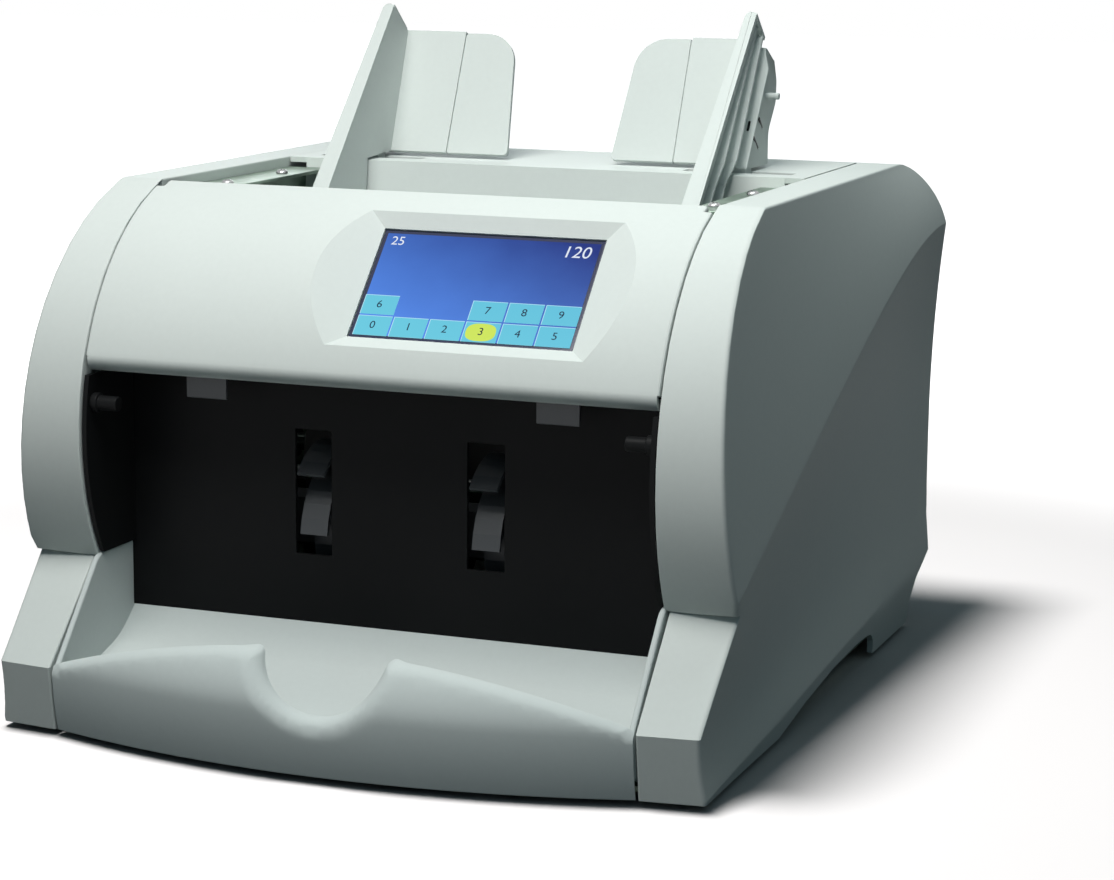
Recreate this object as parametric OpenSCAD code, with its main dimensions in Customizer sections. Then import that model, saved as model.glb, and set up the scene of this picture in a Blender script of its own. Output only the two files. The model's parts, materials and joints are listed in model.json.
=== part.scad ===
// Bench-top banknote counter: a curved front with a touch screen, an open hopper on top with
// two sliding guides, a stacking pocket in front, and the feed, drum and stacker drive inside.
// Millimetres, +Z up, front towards -Y, origin on the surface under the middle of the footprint.

/* [Body] */
// Width of the front panel between the side covers
panel_w = 244; // [236:1:260]
// Seam between the front panel and each side cover
seam = 1; // [0.6:0.1:1.6]
// Greatest thickness of a side cover, measured from its inner face
cheek_w = 32.5; // [30:0.5:38]
// Wall of the moulded covers
wall = 3; // [2:0.25:4]
// Height of the flat top
deck_z = 218; // [216:0.5:220]
// Rear face of the covers
rear_y = 183; // [180:1:190]
// Height of the covers above the surface
ground_gap = 2.5; // [2:0.25:5]

/* [Front curve] */
// Radius of the curved front in side view
arc_r = 103.5; // [98:0.5:110]
// Foremost line of the curved front, along Y
front_y = -141; // [-143:0.5:-139]
// Angle at which the curved front meets the flat top, from level
top_angle = 73.04; // [70:0.5:75]
// Height of the waist where the tower meets the foot
waist_z = 68.5; // [66:0.5:72]
// Front ridge of the foot, along Y
ridge_y = -165; // [-168:0.5:-162]
// Front ridge of the foot, height
ridge_z = 29; // [26:0.5:32]

/* [Side covers] */
// How far the top outer edge stands in from the widest line
top_inset = 13.5; // [8:0.5:16]
// Height of the side crease at the rear
crease_rear_z = 187; // [180:1:192]
// Slope that the side crease takes towards the front
crease_slope = 0.4525; // [0.4:0.005:0.48]
// Length over which the side crease bends level at the rear
crease_bend = 91.5; // [70:0.5:110]
// Height over which the scoop under the crease fades out
scoop_h = 100; // [80:1:120]
// Depth of the undercut along the rear bottom edge
cove_d = 4; // [1:0.5:6]
// Height of the rounded rear top edge
round_h = 31; // [26:1:34]
// Depth of the rounded rear top edge
round_d = 45; // [36:1:50]
// Setback of the slanted rear bottom edge
kick_d = 36; // [28:1:40]

/* [Tray] */
// Radius of the bowed tray front in plan
bow_r = 400; // [380:5:440]
// Foremost line of the tray
tray_y = -184.5; // [-186:0.5:-183]
// Height of the tray front at its middle
tray_h = 50.5; // [46:0.5:54]
// Radius of the finger notch
notch_r = 26.6; // [20:0.2:30]
// Height of the bottom of the finger notch
notch_z = 26; // [22:0.5:30]
// Wall of the tray
tray_t = 3; // [2:0.25:4]
// Height of the tray's side walls
tray_side_h = 69.5; // [66:0.5:69.5]

/* [Display] */
// Width of the screen glass
screen_w = 95; // [80:0.5:104]
// Height of the screen glass
screen_h = 54; // [46:0.5:58]
// Middle of the screen, to the right of the machine's middle
screen_x = 36; // [0:1:40]
// Tilt of the screen from level
screen_tilt = 46; // [44:0.5:48]
// Depth of the screen recess below the chord of the front curve
screen_sink = 2.8; // [2:0.1:4]
// Width of the sloping border at its top and bottom
border_w = 7; // [5:0.25:9]
// Slope of the border from the screen's plane
border_slope = 24; // [20:1:35]

/* [Hopper and guides] */
// Slope of the hopper floor
floor_slope = 40; // [38:0.5:42]
// Front edge of the hopper floor, along Y
floor_y = -53; // [-55:0.5:-51]
// Front edge of the hopper floor, height
floor_z = 206; // [205:0.5:207]
// Length of the hopper floor down its slope
floor_l = 115; // [110:1:118]
// Distance between the guides' inner faces
guide_gap = 162; // [158:1:164]
// Height of the guides' tips
guide_h = 286; // [270:1:300]
// How far a guide slides inwards
guide_in = 20; // [10:1:22]
// How far a guide slides outwards
guide_out = 12; // [6:1:12]
// Thickness of a guide's wall
guide_t = 3.5; // [3:0.25:4]
// Diameter of the rail that carries the guides
rail_d = 8; // [6:0.5:9]

/* [Drive] */
// Radius of the feed drum
drum_r = 38; // [34:0.5:40]
// Radius of the kicker wheels
kicker_r = 20; // [17:0.5:21]
// How far the kicker wheels stand above the hopper floor
kicker_lift = 1.5; // [1:0.25:2.5]
// Radius of the stacker wheels
stacker_r = 42; // [40:0.5:44]
// Number of fingers on each stacker wheel
fingers = 10; // [6:1:14]
// Radius of the pressure rollers
idler_r = 10; // [8:0.5:11]
// Radius of the retard roller
retard_r = 14; // [11:0.5:15]
// Diameter of the drum shaft
drum_shaft_d = 8; // [6:0.5:10]
// Diameter of the kicker and stacker shafts
shaft_d = 6; // [5:0.5:8]
// Module of the guide gear
gear_m = 1.25; // [1:0.05:1.3]
// Teeth of the guide gear
gear_teeth = 18; // [14:2:22]

/* [Fits] */
// Thickness of the chassis plates
plate_t = 1.5; // [1:0.1:2]
// Radial clearance of a shaft in its bore
bore_gap = 0.05; // [0.02:0.01:0.1]
// Clearance between a running piece and its neighbour
run_gap = 0.3; // [0.2:0.05:0.6]
// Backlash of the guide gear
backlash = 0.16; // [0.1:0.02:0.3]

/* [Hidden] */
$fn = 96;
light_grey = "#d3d8d5";
tray_grey = "#b9c1c0";
black_plastic = "#1d1f20";
steel = "#aab0ac";
rubber_black = "#27292a";

// Widths worked out from the panel
panel_half = panel_w / 2;
cheek_in = panel_half + seam;
foot_in = cheek_in + 2;
tray_half = foot_in - seam;
plate_out = panel_half - 6.5;
plate_in = plate_out - plate_t;
wide_x = cheek_in + cheek_w;

// The centre of the front curve
arc_y = front_y + arc_r;
arc_z = deck_z - arc_r * sin(top_angle);

// The base stands on pads that lift the covers off the surface
pan_t = 2;
pan_z = ground_gap + pan_t;
pan_half = wide_x - 14.5;
pan_front = ridge_y + 15;
pan_rear = rear_y - round_d - run_gap;
pad_r = 9;
pad_x = plate_out;
pad_ys = [pan_front + 20, pan_rear - 18];

// Heights and depths of the pocket
back_t = 2;
back_y = -100;
liner_t = 2;
pocket_top = 144.5;
hood_t = 2;
liner_out = panel_half + 0.4;

// The front panel turns on pins just under its top edge
lip_r = 5;
lip_angle = 19;
lip_sink = 0.05;
pivot_in = 7.8;
pivot_angle = 70.2;
pivot_y = arc_y - (arc_r - pivot_in) * cos(pivot_angle);
pivot_z = arc_z + (arc_r - pivot_in) * sin(pivot_angle);
pin_r = 2.5;
ear_r = 4;

// The screen's plane, a chord of the front curve sunk by the recess
chord_half = screen_h / 2 + border_w;
chord_depth = arc_r - sqrt(pow(arc_r, 2) - pow(chord_half, 2));
screen_off = arc_r - chord_depth - screen_sink;
screen_y = arc_y - screen_off * sin(screen_tilt);
screen_z = arc_z + screen_off * cos(screen_tilt);
recess_top = arc_r - screen_off + 4;
window_gap = 0.4;
glass_t = 2;
module_t = 9;
floor_t = 2.5;
frame_w = 4;

// Hopper
floor_plate = 2;
floor_lip = 7;
floor_dy = cos(floor_slope);
floor_dz = -sin(floor_slope);
floor_end_y = floor_y + floor_l * floor_dy;
floor_end_z = floor_z + floor_l * floor_dz;
deck_t = 2.5;
hopper_rear_y = 54;
throat = 8;
back_foot_y = floor_end_y + throat;
back_foot_z = floor_end_z + throat - 1;
deck_end_y = rear_y - round_d;
ledge_in = guide_gap / 2 + 9 + guide_out + 1;
ledge_z = deck_z - 6;
ledge_t = 1.5;

// Guides run on a rail under the deck and are tied by racks and a gear
rail_y = hopper_rear_y + 17;
rail_z = deck_z - 11;
rail_r = rail_d / 2;
block_x = guide_gap / 2 + 3;
block_l = 16;
block_y = rail_y - 8;
block_top = deck_z - deck_t - 1;
block_z = rail_z - rail_r - 3.5;
neck_w = 8;
gear_r = gear_m * gear_teeth / 2;
rack_t = 5;
rack_w = 5;
rack_pitch_y = block_y + rack_w + 1.25 * gear_m;
gear_y = rack_pitch_y + gear_r;
rack_far_y = gear_y + gear_r;
block_rear = rack_far_y + 1.25 * gear_m + rack_w;
rack_z = block_z - rack_t;
rack_back = guide_out + 12;

// Shaft places, worked out from the hopper floor and from the rollers that meet
drum_y = floor_end_y + 4;
drum_z = floor_end_z - 6 - drum_r;
kicker_s = 70;
kicker_y = floor_y + kicker_s * floor_dy - (kicker_r - kicker_lift) * sin(floor_slope);
kicker_z = floor_z + kicker_s * floor_dz - (kicker_r - kicker_lift) * cos(floor_slope);
stacker_reach = 4;
stacker_y = back_y - stacker_reach + stacker_r;
stacker_z = 96;
retard_angle = 49.6;
retard_y = drum_y + (drum_r + retard_r + run_gap) * cos(retard_angle);
retard_z = drum_z + (drum_r + retard_r + run_gap) * sin(retard_angle);
idler_angles = [-32, -127];
motor_y = 125;
motor_z = 60;
motor_r = 28;
motor_l = 62;
drum_shaft_r = drum_shaft_d / 2;
shaft_r = shaft_d / 2;
idler_shaft_r = 2.5;
motor_shaft_r = 2.5;
bush_t = 3;

// Belts and pulleys outside the chassis plates
pulley_w = 7;
pulley_gap = 3.5;
belt_t = 1.6;
belt_w = 5;
belt_steps = 20;
plane_a = plate_out + pulley_gap + pulley_w / 2;
plane_b = plane_a + pulley_w + 3;
drum_pulley_motor = 16;
drum_pulley_stacker = 12;
drum_pulley_kicker = 14;
motor_pulley_r = 8;
stacker_pulley_r = 16;
kicker_pulley_r = 9;

rod_r = 4;
rod_places = [[back_y + 20, 30], [rear_y - 33, 120], [rear_y - 48, 200]];
standoff_r = 4;
standoff_places = [[-45, 180], [rear_y - 53, 170], [rear_y - 33, 34], [-60, 40]];

inlet = [80, 54];
inlet_w = 27;
inlet_h = 20;
flange_t = 1.5;
rocker = [36, 54];
rocker_w = 14;
rocker_h = 24;
rocker_tilt = 8;

// Basic placing modules

// A profile drawn in Y and Z, drawn out along X
module xslab(x0, x1) {
  translate([x0, 0, 0]) rotate([90, 0, 90]) linear_extrude(x1 - x0) children();
}

// A profile drawn in X and Z, drawn out along Y
module yslab(y0, y1) {
  translate([0, y1, 0]) rotate([90, 0, 0]) linear_extrude(y1 - y0) children();
}

// A round bar along X
module xbar(x0, x1, y, z, r) {
  translate([x0, y, z]) rotate([0, 90, 0]) cylinder(h = x1 - x0, r = r);
}

module both_sides() {
  children();
  mirror([1, 0, 0]) children();
}

module screen_frame() {
  translate([screen_x, screen_y, screen_z]) rotate([screen_tilt, 0, 0]) children();
}

// Side cover surface: how the crease and the lower edge close in towards the front
crease_taper = 2.4;
low_inset = 5.5;
low_taper = 2;
low_rise = 0.07;

function crease_z(y) = crease_rear_z
  - crease_slope * (sqrt(pow(rear_y - y, 2) + pow(crease_bend, 2)) - crease_bend);
function crease_x(y) = wide_x - crease_taper * (rear_y - y) / (rear_y - ridge_y);
function low_x(y) = wide_x - low_inset - low_taper * (rear_y - y) / (rear_y - ridge_y);
function low_z(y) = ground_gap + low_rise * (y - ridge_y);
function upper_x(y, z) = let(t = (deck_z - z) / (deck_z - crease_z(y)))
  wide_x - top_inset + (crease_x(y) - wide_x + top_inset) * (1 - pow(1 - t, 2));
function cove(y, z) = cove_d * max(0, low_z(y) - z) / (low_z(rear_y) - ground_gap);
function lower_x(y, z) = low_x(y) - cove(y, z)
  + (crease_x(y) - low_x(y)) * pow(max(0, 1 - (crease_z(y) - z) / scoop_h), 2);
function side_x(y, z) = z >= crease_z(y) ? upper_x(y, z) : lower_x(y, z);

// Front and rear lines of a cover at a height, for a skin that stands in by some depth
function tower_front(z, depth) = arc_y - sqrt(pow(arc_r - depth, 2) - pow(z - arc_z, 2));
function rear_line(z, depth) =
  z > crease_rear_z ? rear_y - round_d
    + (round_d - depth) * sqrt(max(0, 1 - pow((z - crease_rear_z) / (round_h - depth), 2)))
  : z < round_h ? rear_y - depth - kick_d * (round_h - z) / (round_h - ground_gap)
  : rear_y - depth;

// Heights and front lines of the cover's levels, foot first and then the tower
foot_lean = 4;
waist_step = 1;
tower_steps = 16;
function foot_levels(depth) = [
  [ground_gap, ridge_y + foot_lean + depth],
  [ground_gap + 9, ridge_y + foot_lean * 0.66 + depth],
  [ridge_z - 9, ridge_y + foot_lean * 0.33 + depth],
  [ridge_z, ridge_y + depth],
  for (k = [1 : 4]) [
    ridge_z + (waist_z - 0.7 - ridge_z) * k / 4,
    ridge_y + depth + (tower_front(waist_z, 0) + waist_step - ridge_y) * k / 4]
];
function tower_levels(depth) =
  let(low = asin((waist_z - arc_z) / (arc_r - depth)),
      high = asin((deck_z - depth - arc_z) / (arc_r - depth)))
  [for (k = [0 : tower_steps])
    let(a = low + (high - low) * k / tower_steps)
    [arc_z + (arc_r - depth) * sin(a), arc_y - (arc_r - depth) * cos(a)]];
function cover_levels(depth) = concat(foot_levels(depth), tower_levels(depth));

// One level's path: along the front, round the corner, down the side and back in at the rear
side_steps = 24;
edge_r = 2.5;
foot_skew = 0.115;
// The bottom edge is cut away in an arch and lifted in front of it
cut_mid = 72;
cut_half = 21;
cut_h = 6.2;
lift_from = -54;
lift_h = 2;
function cover_raise(y) = abs(y - cut_mid) < cut_half ? cut_h
  : y > lift_from && y < cut_mid ? lift_h : 0;
function cover_path(level, depth, lowest) =
  let(z = level[0],
      yf = level[1],
      inner = z < waist_z - 0.1 ? foot_in : cheek_in,
      skew = z < waist_z - 0.1 ? foot_skew : 0,
      yr = rear_line(z, depth),
      ys = yf + edge_r + skew * cheek_w,
      xf = side_x(ys, z) - depth)
  concat(
    [[inner, yf, z], [xf - edge_r, yf + skew * (xf - inner), z]],
    [for (k = [0 : side_steps])
      let(y = ys + (yr - ys) * k / side_steps)
      [side_x(y, z) - depth, y, z + (lowest ? cover_raise(y) : 0)]],
    [[inner, yr, z]]);

function quads(rows, cols, base, flip) = [
  for (j = [0 : rows - 2], i = [0 : cols - 2])
    let(a = base + j * cols + i, b = a + 1, c = a + cols, d = c + 1)
    each flip ? [[a, d, b], [a, c, d]] : [[a, b, d], [a, d, c]]
];

module cover_shell() {
  outer = cover_levels(0);
  inner = cover_levels(wall);
  rows = len(outer);
  cols = side_steps + 4;
  count = rows * cols;
  top = count - cols;
  points = concat(
    [for (j = [0 : rows - 1]) each cover_path(outer[j], 0, j == 0)],
    [for (j = [0 : rows - 1]) each cover_path(inner[j], wall, j == 0)]);
  faces = concat(
    quads(rows, cols, 0, true),
    quads(rows, cols, count, false),
    [for (i = [0 : cols - 2]) each [[i, i + 1, count + i + 1], [i, count + i + 1, count + i]]],
    [for (j = [0 : rows - 2]) let(a = j * cols, c = a + cols)
      each [[a, count + a, count + c], [a, count + c, c]]],
    [for (j = [0 : rows - 2]) let(a = j * cols + cols - 1, c = a + cols)
      each [[a, count + c, count + a], [a, c, count + c]]],
    [[for (i = [0 : cols - 1]) top + cols - 1 - i]],
    [[for (i = [0 : cols - 1]) count + top + i]],
    [[top, count + top, count + top + cols - 1, top + cols - 1]]);
  polyhedron(points, faces, convexity = 8);
}

module side_cover_right() {
  color(light_grey) cover_shell();
}

module side_cover_left() {
  color(light_grey) mirror([1, 0, 0]) cover_shell();
}

// Base and chassis

module base_pan() {
  color(steel) {
    translate([-pan_half, pan_front, ground_gap]) cube([2 * pan_half, pan_rear - pan_front, pan_t]);
    board_posts();
  }
}

module rubber_feet() {
  color(rubber_black) both_sides() for (y = pad_ys)
    translate([pad_x, y, 0]) cylinder(h = ground_gap, r = pad_r);
}

plate_shoulder_z = waist_z + 97;
plate_drop = 6;
plate_setback = 18;
flange_w = 12;

module chassis_outline() {
  polygon([
    [back_y + back_t, pan_z],
    [back_y + back_t, plate_shoulder_z],
    [pivot_y - ear_r - 2, pivot_z - plate_drop],
    [pivot_y + 16, pivot_z - plate_drop],
    [floor_y + 1, ledge_z],
    [hopper_rear_y + 2, ledge_z],
    [hopper_rear_y + 6, deck_z - deck_t],
    [rear_y - round_d - 4, deck_z - deck_t],
    [rear_y - plate_setback, deck_z - round_h],
    [rear_y - plate_setback, round_h + 9],
    [pan_rear - 3, pan_z]]);
  translate([pivot_y, pivot_z]) circle(r = ear_r);
  translate([pivot_y - ear_r, pivot_z - plate_drop - 1]) square([2 * ear_r, plate_drop + 1]);
}

module chassis_plate(side) {
  color(steel) difference() {
    union() {
      xslab(plate_in, plate_out) chassis_outline();
      translate([plate_in - flange_w, back_y + back_t, pan_z])
        cube([flange_w + 0.5, pan_rear - 3 - back_y - back_t, plate_t]);
    }
    shaft_holes(plate_in - 1, plate_out + 1);
    xbar(plate_in - 1, plate_out + 1, pivot_y, pivot_z, pin_r);
    xbar(plate_in - 1, plate_out + 1, rail_y, rail_z, rail_r);
    for (p = rod_places) xbar(plate_in - 1, plate_out + 1, p[0], p[1], 2);
    if (side == "left") xbar(plate_in - 1, plate_out + 1, motor_y, motor_z, motor_shaft_r + 4);
    xbar(plate_in - 1, plate_out + 1, retard_y, retard_z, shaft_r);
  }
}

function idler_y(k) = drum_y + (drum_r + idler_r + run_gap) * cos(idler_angles[k]);
function idler_z(k) = drum_z + (drum_r + idler_r + run_gap) * sin(idler_angles[k]);
turning_shafts = [
  [drum_y, drum_z, drum_shaft_r],
  [kicker_y, kicker_z, shaft_r],
  [stacker_y, stacker_z, shaft_r],
  [idler_y(0), idler_z(0), idler_shaft_r],
  [idler_y(1), idler_z(1), idler_shaft_r]];

module shaft_holes(x0, x1) {
  for (s = turning_shafts) xbar(x0, x1, s[0], s[1], s[2] + bush_t);
}

module chassis_plate_right() {
  chassis_plate("right");
}

module chassis_plate_left() {
  mirror([1, 0, 0]) chassis_plate("left");
}

module tie_rods() {
  color(steel) for (p = rod_places) xbar(-plate_in, plate_in, p[0], p[1], rod_r);
}

module tie_rod_screws() {
  color(steel) both_sides() for (p = rod_places) {
    xbar(plate_in, plate_out + 1, p[0], p[1], 2);
    xbar(plate_out, plate_out + 2.5, p[0], p[1], 5);
  }
}

module cover_standoffs() {
  color(steel) both_sides() for (p = standoff_places)
    xbar(plate_out, side_x(p[0], p[1]) - wall - 0.6, p[0], p[1], standoff_r);
}

module shaft_bushes() {
  color("#8c8f88") both_sides() for (s = turning_shafts) difference() {
    union() {
      xbar(plate_in - 1.5, plate_out + 0.5, s[0], s[1], s[2] + bush_t);
      xbar(plate_out, plate_out + 1.5, s[0], s[1], s[2] + bush_t + 2);
    }
    xbar(plate_in - 2, plate_out + 2, s[0], s[1], s[2] + bore_gap);
  }
}

// Tray and pocket

bow_y = tray_y + bow_r;
arch_end = 1;
arch_rise = tray_h - ridge_z - arch_end;
arch_r = (pow(tray_half, 2) + pow(arch_rise, 2)) / (2 * arch_rise);
tray_back = 9.5;
tray_floor_front = 10;
tray_floor_rear = 24;
tray_ramp = 12;
tray_ramp_top = 41;

// A leaning round wall, widest at the ridge
module bowed_drum(depth, extra) {
  translate([0, bow_y, ground_gap - extra])
    cylinder(h = ridge_z - ground_gap + extra, r1 = bow_r - foot_lean - depth, r2 = bow_r - depth,
      $fn = 360);
  translate([0, bow_y, ridge_z])
    cylinder(h = tray_h - ridge_z + extra, r1 = bow_r - depth, r2 = bow_r - tray_back - depth,
      $fn = 360);
}

module ycyl(y0, y1, x, z, r) {
  translate([x, y1, z]) rotate([90, 0, 0]) cylinder(h = y1 - y0, r = r, $fn = 360);
}

module tray_front() {
  front = tray_y - 5;
  rear = ridge_y + 25;
  difference() {
    bowed_drum(0, 0);
    bowed_drum(tray_t, 0.5);
    translate([-2 * bow_r, rear, 0]) cube([4 * bow_r, 3 * bow_r, tray_h + 1]);
    both_sides() translate([tray_half, tray_y - 1, 0]) cube([bow_r, bow_r, tray_h + 1]);
    difference() {
      translate([-tray_half - 1, front, ridge_z - 2]) cube([2 * tray_half + 2, rear - front, tray_h]);
      ycyl(front - 1, rear + 1, 0, tray_h - arch_r, arch_r);
    }
    ycyl(front, rear, 0, notch_z + notch_r, notch_r);
  }
}

module tray_floor() {
  intersection() {
    translate([0, bow_y, 0]) cylinder(h = waist_z, r = bow_r - foot_lean - 1, $fn = 360);
    xslab(-tray_half + 1, tray_half - 1) polygon([
      [tray_y - 4, tray_floor_front],
      [back_y - tray_ramp, tray_floor_rear],
      [back_y - 0.2, tray_ramp_top],
      [back_y - 0.2, tray_ramp_top - 4],
      [back_y - tray_ramp + 2, tray_floor_rear - tray_t],
      [tray_y - 4, tray_floor_front - tray_t]]);
  }
}

module tray_side() {
  xslab(tray_half - tray_t + 0.5, tray_half) polygon([
    [ridge_y + 5, ridge_z / 3],
    [ridge_y + 1, ridge_z],
    [tower_front(waist_z, 0) - 2, waist_z - 2],
    [tower_front(waist_z, 0) + 3, tray_side_h - 0.3],
    [back_y - 0.2, tray_side_h - 0.3],
    [back_y - 0.2, pan_z],
    [pan_front + 2, pan_z]]);
}

module stacker_tray() {
  color(tray_grey) {
    tray_front();
    tray_floor();
    both_sides() tray_side();
  }
}

wheel_x = 38;
wheel_w = 12;
hood_d = 22;
tab_x = 76;
tab_w = 18;
tab_h = 9;

module pocket_back_plate() {
  color(black_plastic) yslab(back_y, back_y + back_t) difference() {
    translate([-liner_out, tray_ramp_top]) square([2 * liner_out, pocket_top - tray_ramp_top]);
    for (x = [-wheel_x, wheel_x])
      translate([x - wheel_w / 2 - 2, stacker_z - 26]) square([wheel_w + 4, 52]);
  }
}

module pocket_hood() {
  color(black_plastic) translate([-liner_out, back_y - hood_d, pocket_top])
    cube([2 * liner_out, hood_d + back_t, hood_t]);
}

module note_tabs() {
  color("#8b8f90") for (x = [-tab_x, tab_x])
    translate([x - tab_w / 2, back_y - hood_d + 2, pocket_top - tab_h]) cube([tab_w, 1.5, tab_h]);
}

module liner() {
  xslab(liner_out - liner_t, liner_out) intersection() {
    translate([arc_y, arc_z]) circle(r = arc_r - 1.5);
    translate([back_y - 50, tray_side_h]) square([50, pocket_top - tray_side_h]);
  }
}

module pocket_liner_right() {
  color(black_plastic) liner();
}

module pocket_liner_left() {
  color(black_plastic) mirror([1, 0, 0]) liner();
}

sensor_y = -133;
sensor_z = 133;
sensor_l = 11.5;
sensor_r = 3;

module pocket_sensors() {
  color(black_plastic) both_sides() {
    xbar(liner_out - liner_t - sensor_l, liner_out - liner_t, sensor_y, sensor_z, sensor_r);
    xbar(liner_out - liner_t - sensor_r, liner_out - liner_t, sensor_y, sensor_z, sensor_r + 1);
  }
}

// Front panel and display

// A flat-bottomed well with sloping sides, in the screen's plane
module border_well(grow, low, top) {
  spread = (top - low) / tan(border_slope);
  w = screen_w / 2 + grow;
  h = screen_h / 2 + grow;
  screen_frame() polyhedron(
    [[-w, -h, low], [w, -h, low], [w, h, low], [-w, h, low],
     [-w - spread, -h - spread, top], [w + spread, -h - spread, top],
     [w + spread, h + spread, top], [-w - spread, h + spread, top]],
    [[0, 1, 2, 3], [7, 6, 5, 4], [0, 4, 5, 1], [1, 5, 6, 2], [2, 6, 7, 3], [3, 7, 4, 0]]);
}

// The curved skin, from the rolled lip to the top edge
module panel_outline() {
  translate([arc_y, arc_z]) difference() {
    intersection() {
      circle(r = arc_r, $fn = 240);
      polygon([[0, 0],
        2 * arc_r * [-cos(lip_angle - 0.5), sin(lip_angle - 0.5)],
        2 * arc_r * [-cos(45), sin(45)],
        2 * arc_r * [-cos(top_angle), sin(top_angle)]]);
    }
    circle(r = arc_r - wall, $fn = 240);
  }
  translate([arc_y, arc_z])
    translate((arc_r - lip_r - lip_sink) * [-cos(lip_angle), sin(lip_angle)]) difference() {
      circle(r = lip_r);
      circle(r = lip_r - 2.2);
      rotate(180 - lip_angle) translate([-2 * lip_r, -2 * lip_r]) square([4 * lip_r, 2 * lip_r]);
    }
}

module panel_ear() {
  xslab(plate_out + 0.8, plate_out + 5.8) intersection() {
    translate([arc_y, arc_z]) circle(r = arc_r - 1);
    translate([pivot_y, pivot_z]) circle(r = 7);
  }
}

module front_panel() {
  color(light_grey) difference() {
    union() {
      xslab(-panel_half, panel_half) panel_outline();
      intersection() {
        xslab(-panel_half, panel_half) translate([arc_y, arc_z]) circle(r = arc_r - 0.5, $fn = 240);
        border_well(frame_w, -floor_t, recess_top);
      }
      both_sides() panel_ear();
    }
    border_well(0, 0, recess_top);
    screen_frame() translate([-screen_w / 2, -screen_h / 2, -floor_t - 1])
      cube([screen_w, screen_h, floor_t + 2]);
    both_sides() xbar(plate_out, panel_half + 1, pivot_y, pivot_z, pin_r + bore_gap);
  }
}

module display_glass() {
  color("#10204a") screen_frame()
    translate([-screen_w / 2 + window_gap, -screen_h / 2 + window_gap, -floor_t])
    cube([screen_w - 2 * window_gap, screen_h - 2 * window_gap, glass_t]);
}

module display_module() {
  color("#3c4244") screen_frame()
    translate([-screen_w / 2 - 5, -screen_h / 2 - 3, -floor_t - module_t])
    cube([screen_w + 10, screen_h + 6, module_t]);
}

module display_screws() {
  color(steel) screen_frame() for (x = [-1, 1], y = [-1, 1])
    translate([x * (screen_w / 2 + 1), y * (screen_h / 2 - 1), -floor_t - module_t - 2])
    cylinder(h = 2, r = 3);
}

module panel_pins() {
  color(steel) both_sides() {
    xbar(plate_in - 1.5, plate_out + 6.5, pivot_y, pivot_z, pin_r);
    xbar(plate_in - 2.5, plate_in, pivot_y, pivot_z, pin_r + 1.2);
  }
}

// Hopper

module hopper_floor() {
  color(tray_grey) difference() {
    union() {
      translate([0, floor_y, floor_z]) rotate([-floor_slope, 0, 0])
        translate([-plate_in, 0, -floor_plate]) cube([2 * plate_in, floor_l, floor_plate]);
      xslab(-plate_in, plate_in) polygon([
        [floor_y - 5, floor_z + floor_lip],
        [floor_y - 3, floor_z + floor_lip],
        [floor_y + 1, floor_z - 0.9],
        [floor_y + 2, floor_z - 2.5],
        [floor_y - 0.5, floor_z - 1.5]]);
    }
    for (x = kicker_xs) xbar(x - kicker_w / 2 - 1.5, x + kicker_w / 2 + 1.5,
      kicker_y, kicker_z, kicker_r + 1.5);
  }
}

module hopper_ledges() {
  color(steel) both_sides() translate([ledge_in, floor_y + 3, ledge_z])
    cube([panel_half + 0.4 - ledge_in, hopper_rear_y - 4 - floor_y, ledge_t]);
}

module ledge_screws() {
  color(steel) both_sides() for (y = [floor_y + 20, hopper_rear_y - 34])
    translate([plate_in - 4, y, ledge_z + ledge_t]) {
      cylinder(h = 1, r = 3.6);
      cylinder(h = 2.2, r1 = 3.6, r2 = 2.2);
    }
}

module rear_deck() {
  slot_x = block_x - guide_in - 1;
  slot_l = block_l + guide_in + guide_out + 2;
  color(light_grey) difference() {
    union() {
      translate([-panel_half - 0.4, hopper_rear_y, deck_z - deck_t])
        cube([2 * panel_half + 0.8, deck_end_y - hopper_rear_y, deck_t]);
      xslab(-plate_in, plate_in) polygon([
        [hopper_rear_y, deck_z],
        [back_foot_y, back_foot_z],
        [back_foot_y + deck_t, back_foot_z - 0.5],
        [hopper_rear_y + deck_t + 0.5, deck_z - deck_t]]);
      translate([0, gear_y, rack_z + rack_t + 0.5])
        cylinder(h = deck_z - 1 - rack_z - rack_t - 0.5, r = 6);
    }
    both_sides() translate([slot_x, rail_y - neck_w / 2 - 0.6, deck_z - deck_t - 1])
      cube([slot_l, neck_w + 1.2, deck_t + 2]);
    translate([0, gear_y, rack_z]) cylinder(h = deck_z - deck_t - rack_z, r = gear_pin_r);
  }
}

// The rear cover wraps from the bottom over the rounded top edge
module rear_outline(depth) {
  polygon(concat(
    [[rear_y - round_d, ground_gap + depth],
     [rear_y - kick_d - depth, ground_gap + depth],
     [rear_y - depth, round_h],
     [rear_y - depth, crease_rear_z]],
    [for (a = [7.5 : 7.5 : 90]) [
      rear_y - round_d + (round_d - depth) * cos(a),
      crease_rear_z + (round_h - depth) * sin(a)]]));
}

module rear_cover() {
  vent_pitch = 9;
  color(light_grey) difference() {
    xslab(-panel_half - 0.4, panel_half + 0.4) difference() {
      rear_outline(0);
      rear_outline(deck_t);
      translate([0, ground_gap - 1]) square([rear_y - round_d, deck_z]);
    }
    translate([inlet[0] - inlet_w / 2 - 1.5, rear_y - 8, inlet[1] - inlet_h / 2 - 1.5])
      cube([inlet_w + 3, 12, inlet_h + 3]);
    translate([rocker[0] - rocker_w / 2 - 2.5, rear_y - 8, rocker[1] - rocker_h / 2 - 2.5])
      cube([rocker_w + 5, 12, rocker_h + 5]);
    for (k = [-5 : 5]) translate([k * vent_pitch - 40, rear_y - 8, 100])
      yslab(0, 12) {
        square([4, 44]);
        translate([2, 0]) circle(r = 2);
        translate([2, 44]) circle(r = 2);
      }
  }
}

// Guides

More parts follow.
